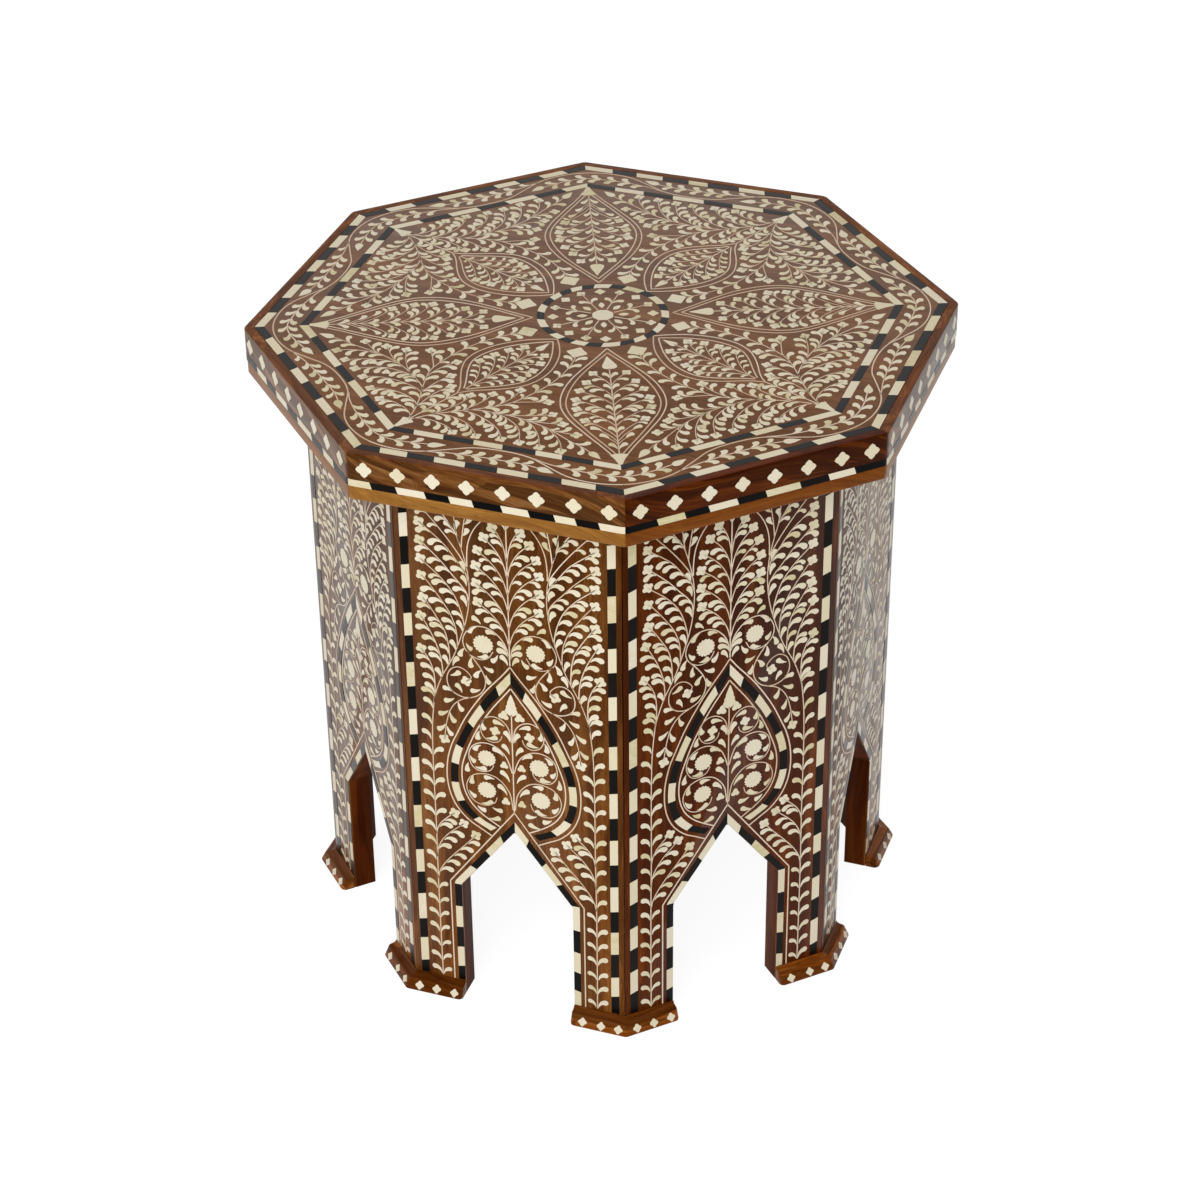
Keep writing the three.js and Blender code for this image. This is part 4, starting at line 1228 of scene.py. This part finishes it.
def arch_stringing():
    """The arch stringing's two edges, at equal steps over the kink and under it, and its joints."""
    share = np.concatenate((np.linspace(0, 1, 30), 1 + np.linspace(0, 1, 40)[1:]))
    inside, outside = (points_at(share, (0, 1, 2), line) for line in (ARCH_SLIPS_INSIDE, ARCH_SLIPS_OUTSIDE))
    run = distances((inside + outside) / 2)
    joints = np.concatenate((ARCH_JOINTS_OVER, run[29] + np.array(ARCH_JOINTS_UNDER), run[-1:]))
    return inside, outside, joints


def band_stringing():
    """The medallion band's two edges, each at as many steps, and its joints."""
    share = np.linspace(0, 1, 120)
    lines = [smooth_path(line, 1.2) for line in (BAND_INSIDE, BAND_OUTSIDE)]
    inside, outside = (points_at(share, np.linspace(0, 1, len(line)), line) for line in lines)
    run = np.hypot(*np.diff((outside + inside) / 2, axis=0).T).sum()
    return inside, outside, run * BAND_JOINTS / BAND_JOINTS[-1]


def panel_inlay(number, cuttings, arch, band):
    """The flowers of one panel in both halves, and the stringing along its edges, the arch and the
    medallion."""
    flowers, lines, slips = Solid(), Solid(), (Solid(), Solid())
    place = side_plane(number, BASE_APOTHEM).at
    cuttings.lay(flowers, lines, place)
    cuttings.lay(flowers, lines, place, mirrored=True, shared=False)
    length = EDGE_SLIPS_HIGH - EDGE_SLIPS_LOW
    for way, first in zip((-1, 1), FIRST_CUTS.get(number, chance.uniform(22, 29, 2))):
        joints = first - EDGE_SLIPS_LOW + np.arange(MOST_JOINTS) * SLIP_PITCH
        joints += chance.normal(0, SLIP_WANDER, MOST_JOINTS)
        cuts = np.concatenate(([0], joints[joints < length - SHORTEST_SLIP], [length]))
        left, right = (np.array(((x, EDGE_SLIPS_LOW), (x, EDGE_SLIPS_HIGH)))
                       for x in sorted(way * np.array(EDGE_SLIPS)))
        # A cut rises to the right on both sides
        lay_slips(ladder(left, right, cuts, slant=-1.7), slips, place, start=1)
    for way in (1, -1):
        for (inside, outside, joints), wander, slant, start in (
                (arch, 0.5, 1.5, way < 0), (band, 0.6, 1.2, (way > 0) == (number % 2 == 1))):
            cuts = joints.copy()
            cuts[1:-1] += chance.normal(0, wander, len(cuts) - 2)
            left, right = (edge * (way, 1) for edge in (outside, inside)[::way])
            lay_slips(ladder(left, right, cuts, slant=slant * way), slips, place, start=int(start))
    flowers.piece(f"panel_flowers_{number}", BONE, "bone")
    lines.piece(f"panel_stems_{number}", BONE_LINE, "bone")
    slips[0].piece(f"panel_bone_slips_{number}", BONE, "bone")
    slips[1].piece(f"panel_ebony_slips_{number}", SIDE_EBONY, "ebony")


panel_pattern = Cuttings(panel_garden()), arch_stringing(), band_stringing()
for number in range(1, SIDES + 1):
    panel_inlay(number, *panel_pattern)


# Inlay of the top

# The two bands of stringing, with the apothems of their edges, side by side: 0 where a side's first slip is
# bone, 1 where it is ebony, and the joints as distances from the side's middle
RIM_SLIPS = (212.0, 217.85, (
    (1, (-73.9, -55.4, -37.1, -16.3, 5.3, 25.8, 48, 70.5)), (0, (-63.6, -41.4, -17.7, 4.2, 24.1, 45.3, 65.4)),
    (0, (-71.4, -45, -25.8, -4.2, 18.1, 47.3, 69.7)), (0, (-63.8, -41.2, -19, 4.8, 27.3, 46.8, 66.8)),
    (0, (-69.9, -49.7, -30.2, -6.2, 8.4, 28.6, 48.8, 67.6)),
    (1, (-72.3, -53.1, -33.7, -16.3, 5.6, 27.9, 49, 69.2)),
    (0, (-72.3, -55.4, -35.8, -14.9, 3, 24.2, 44.7, 67.5)),
    (1, (-70.7, -47.6, -23.6, -3.2, 21.3, 42.9, 67.4))))
FIELD_SLIPS = (184.5, 190.0, (
    (1, (-62.1, -41.9, -21.3, -1.7, 20.6, 38.3, 59.2)), (1, (-63, -45, -27.5, -6.1, 15.6, 34.8, 53.7)),
    (1, (-58, -35, -12.5, 10.5, 33.9, 55.6)), (0, (-59.3, -37.4, -14.9, 8.5, 31.1, 54.7)),
    (1, (-57, -34, -12, 11.5, 34, 56)), (0, (-58.5, -36, -13, 9.6, 32, 54.9)),
    (1, (-56.5, -34.6, -11.5, 10.2, 33, 55.2)), (0, (-59, -36.8, -14.2, 8.8, 31.5, 54.2))))
# The ring: the radii of its edges and that at which its joints are laid out, the direction of its first
# joint from the table's right, and each joint from there, both in degrees
RING_INSIDE, RING_OUTSIDE, RING_JOINT_RADIUS = 39.8, 45.0, 42.6
RING_START = 13.4
RING_JOINTS = (0, 13.6, 27, 43.2, 56.9, 74.7, 88.3, 103.6, 115.2, 126.3, 138.5, 150.5, 164.5, 178.3, 192.8,
               208.1, 222.9, 234.4, 246.8, 260.2, 274.2, 290.5, 304.2, 316.4, 329.9, 345.6, 360)
TOP_CUT = math.radians(17)  # slant of the joints in the two bands
BOSS, BOSS_TONE = (0, 0, 0, 7.4), 0.7  # place, turn and size of the flower in the middle


def turned(degrees):
    angle = math.radians(degrees)
    return np.array(((math.cos(angle), math.sin(angle)), (-math.sin(angle), math.cos(angle))))


def straight_slips(number, near, far, joints):
    """Slips of a band of the top on one side: four-cornered, mitred at both ends and cut at a slant."""
    out, right = (vector[:2] for vector in side_vectors(number))
    joints = np.array((0, *joints, 0), float)
    slant = math.tan(TOP_CUT) * (far - near) / 2
    low, high = joints - slant, joints + slant
    for edge, apothem in ((low, near), (high, far)):
        edge[-1] = apothem * math.tan(HALF_ANGLE)
        edge[0] = -edge[-1]
    edges = ((low[:-1] + SAW_GAP, near), (low[1:] - SAW_GAP, near),
             (high[1:] - SAW_GAP, far), (high[:-1] + SAW_GAP, far))
    outlines = [np.column_stack((along, np.full(len(along), apothem))) for along, apothem in edges]
    return np.stack(outlines, 1) @ np.array((right, out))


def top_inlay():
    """The flowers of the field, the border and the middle, the boss, and the two bands and the ring of
    stringing."""
    flowers, lines, slips = Solid(), Solid(), (Solid(), Solid())
    place = TOP_PLANE.at
    field, border, middle = Cuttings(top_garden()), Cuttings(border_garden()), Cuttings(centre_garden())
    for quarter in range(4):
        # The garden's y axis turns to a long petal's axis, which points at every second corner
        turn = turned(2 * SIDE_TURN * quarter - FIRST_CORNER)
        field.lay(flowers, lines, place, turn)
        field.lay(flowers, lines, place, turn, mirrored=True, shared=False)
    for side in range(SIDES):
        # A side's distances run to the right, seen from outside, so the border is laid turned over
        border.lay(flowers, lines, place, turned(SIDE_TURN * side - 180), mirrored=True)
        middle.lay(flowers, lines, place, turned(SIDE_TURN * side - FIRST_CORNER))
    let_in(flowers, shaken(blooms((BOSS,), BOSS_RADII)), place, BOSS_TONE)
    for number in range(1, SIDES + 1):
        for near, far, table in (RIM_SLIPS, FIELD_SLIPS):
            start, joints = table[number - 1]
            lay_slips(straight_slips(number, near, far, joints), slips, place, start=start)
    turn = math.radians(RING_START) + np.linspace(0, 2 * math.pi, 240)
    ring = np.column_stack((np.cos(turn), np.sin(turn)))
    cuts = np.radians(RING_JOINTS) * RING_JOINT_RADIUS
    outlines = ladder(RING_INSIDE * ring, RING_OUTSIDE * ring, cuts, slant=1.8, ends=(False, False))
    lay_slips(outlines, slips, place)
    flowers.piece("top_flowers", TOP_BONE, "bone")
    lines.piece("top_stems", TOP_LINE, "bone")
    slips[0].piece("top_bone_slips", TOP_BONE, "bone")
    slips[1].piece("top_ebony_slips", EBONY, "ebony")


top_inlay()


# Inlay of the lippings and feet

# Stringing at the foot of the lippings, by turns from side to side: its joints, as distances from the side's
# middle, and 0 where its first slip is bone or 1 where it is ebony
FASCIA_SLIPS = (((-77.3, -59.8, -41, -23.3, -7.9, 10.9, 29.3, 46.5, 60.9, 75.9), 0),
                ((-71.6, -52.3, -34.1, -14.9, 5.9, 30.9, 51.5, 69.6), 1))
FASCIA_SLIPS_BOTTOM, FASCIA_SLIPS_TOP, FASCIA_WANDER = 433.0, 437.9, 0.6
# A row of diamonds: their places along the side, height, half length, and how far each of place, height,
# turn and size wanders
LIPPING_DIAMONDS = ((-82, -58.4, -35, -11.6, 12.1, 35.2, 59, 81.7), 446.7, 5.7, (0.5, 0.25, 0.03, 0.12))
FOOT_DIAMONDS = ((-73.2, -60.2, -47.4, 49.2, 64, 77), 0, 3.3, (0.4, 0.1, 0.03, 0.08))


def diamonds(name, place, spots, height, size, wander):
    """Bone diamonds, their long way upright."""
    rows = np.array([(spot, height, math.pi / 2, size) for spot in spots])
    rows = rows + chance.normal(0, 1, rows.shape) * wander
    solid = Solid()
    let_in(solid, blooms(rows, RHOMB_RADII), place, chance.uniform(0.2, 1, len(spots)))
    solid.piece(name, BONE, "bone")


def lipping_slips(number):
    slips = Solid(), Solid()
    joints, start = FASCIA_SLIPS[(number - 1) % 2]
    cuts = np.array((-CORNER_END, *joints, CORNER_END))
    cuts[1:-1] += chance.normal(0, FASCIA_WANDER, len(joints))
    top, bottom = (np.array(((-CORNER_END, height), (CORNER_END, height)))
                   for height in (FASCIA_SLIPS_TOP, FASCIA_SLIPS_BOTTOM))
    outlines = ladder(top, bottom, cuts + CORNER_END, slant=-1.6, stations=16)
    lay_slips(outlines, slips, wrapped(number, TOP_APOTHEM), start=start, depth=FASCIA_INLAY_DEPTH)
    slips[0].piece(f"lipping_bone_slips_{number}", BONE, "bone")
    slips[1].piece(f"lipping_ebony_slips_{number}", EBONY, "ebony")


def nose_plane(number):
    """The leaning face of a foot's nose."""
    out, right = side_vectors(number)
    lean, rise = math.sin(NOSE_LEAN), math.cos(NOSE_LEAN)
    origin = out * NOSE_MIDDLE[0] + SKY * NOSE_MIDDLE[1]
    return Plane(origin, right, SKY * rise - out * lean, out * rise + SKY * lean)


for number in range(1, SIDES + 1):
    diamonds(f"lipping_diamonds_{number}", wrapped(number, TOP_APOTHEM), *LIPPING_DIAMONDS)
    lipping_slips(number)
    diamonds(f"foot_diamonds_{number}", nose_plane(number).at, *FOOT_DIAMONDS)


# Camera, floor and light
FOCAL_LENGTH, SENSOR_WIDTH = 92.73, 36.0
CAMERA_PLACE = (623.47, -1754.37, 1445.74)
CAMERA_RIGHT = (0.943580, 0.331004, -0.009651)
CAMERA_UP = (-0.173841, 0.519946, 0.836323)
CAMERA_BACK = (0.281844, -0.787460, 0.548153)
FLOOR_RADIUS, FLOOR_DROP = 6.0, 0.0002  # metres
# The floor's grey where light falls on it, its grey where it is seen, and its own glow there
FLOOR_LIT, FLOOR_SEEN, FLOOR_GLOW = 0.78, 0.24, 0.91
# The room's light, where 1 is white, and each soft lamp: name, direction and height in degrees, distance and
# diameter in metres, and watts. The lamps face this height over the floor.
ROOM_LIGHT = 0.42
LAMPS = (("key", -87, 31, 3.2, 2.2, 53), ("fill", -75, 6, 3.0, 2.0, 9))
LAMP_AIM = np.array((0, 0, 0.25))


def posed(name, data, across, up, back, place):
    """An object whose own axes point along three unit vectors, at a place in metres."""
    matrix = np.eye(4)
    matrix[:3] = np.column_stack((across, up, back, place))
    new = bpy.data.objects.new(name, data)
    new.matrix_world = Matrix(matrix.tolist())
    scene.collection.objects.link(new)
    return new


def camera():
    lens = bpy.data.cameras.new("camera")
    lens.lens, lens.sensor_width, lens.clip_end = FOCAL_LENGTH, SENSOR_WIDTH, 100
    scene.camera = posed("camera", lens, CAMERA_RIGHT, CAMERA_UP, CAMERA_BACK, np.array(CAMERA_PLACE) * MM)


def sees_white(tree):
    """1 for rays from the camera, off a shine or through glass, which see the room white, and 0 for the
    others."""
    path = add(tree, "LightPath").outputs
    seen = add(tree, "Math", {0: path["Is Camera Ray"], 1: path["Is Glossy Ray"]}, operation="MAXIMUM")
    return add(tree, "Math", {0: seen, 1: path["Is Transmission Ray"]}, operation="MAXIMUM")


def floor_disc():
    """A flat pale disc under the table."""
    turn = turns(96)
    x, y = FLOOR_RADIUS * np.cos(turn), FLOOR_RADIUS * np.sin(turn)
    rim = np.column_stack((x, y, np.full(len(turn), -FLOOR_DROP)))
    mesh = bpy.data.meshes.new("floor")
    mesh.from_pydata(rim.tolist(), [], [list(range(len(rim)))])
    new, tree = material("white studio floor")
    lit, faint = (add(tree, "BsdfDiffuse", {"Color": (grey, grey, grey, 1)})
                  for grey in (FLOOR_LIT, FLOOR_SEEN))
    glow = add(tree, "Emission", {"Color": (1, 1, 1, 1), "Strength": FLOOR_GLOW})
    shown = add(tree, "AddShader", {0: faint, 1: glow})
    add(tree, "OutputMaterial", {"Surface": add(tree, "MixShader", {0: sees_white(tree), 1: lit, 2: shown})})
    mesh.materials.append(new)
    disc = bpy.data.objects.new("floor", mesh)
    scene.collection.objects.link(disc)


def studio_light():
    """An even white room, a large soft lamp in front of the table and over it, and a weak one near the
    floor."""
    world = bpy.data.worlds.new("white studio")
    world.use_nodes = True
    tree = world.node_tree
    tree.nodes.clear()
    room, shown = (add(tree, "Background", {"Color": (1, 1, 1, 1), "Strength": strength})
                   for strength in (ROOM_LIGHT, 1.0))
    add(tree, "OutputWorld", {"Surface": add(tree, "MixShader", {0: sees_white(tree), 1: room, 2: shown})})
    scene.world = world
    for name, azimuth, elevation, distance, size, power in LAMPS:
        lamp = bpy.data.lights.new(name, "AREA")
        lamp.shape, lamp.size, lamp.energy = "DISK", size, power
        turn, rise = math.radians(azimuth), math.radians(elevation)
        away = np.array((math.cos(turn) * math.cos(rise), math.sin(turn) * math.cos(rise), math.sin(rise)))
        side = np.cross((0, 0, 1), away)
        side /= np.linalg.norm(side)
        posed(name, lamp, side, np.cross(away, side), away, away * distance + LAMP_AIM).visible_camera = False


scene.view_settings.view_transform = "Standard"
camera()
floor_disc()
studio_light()
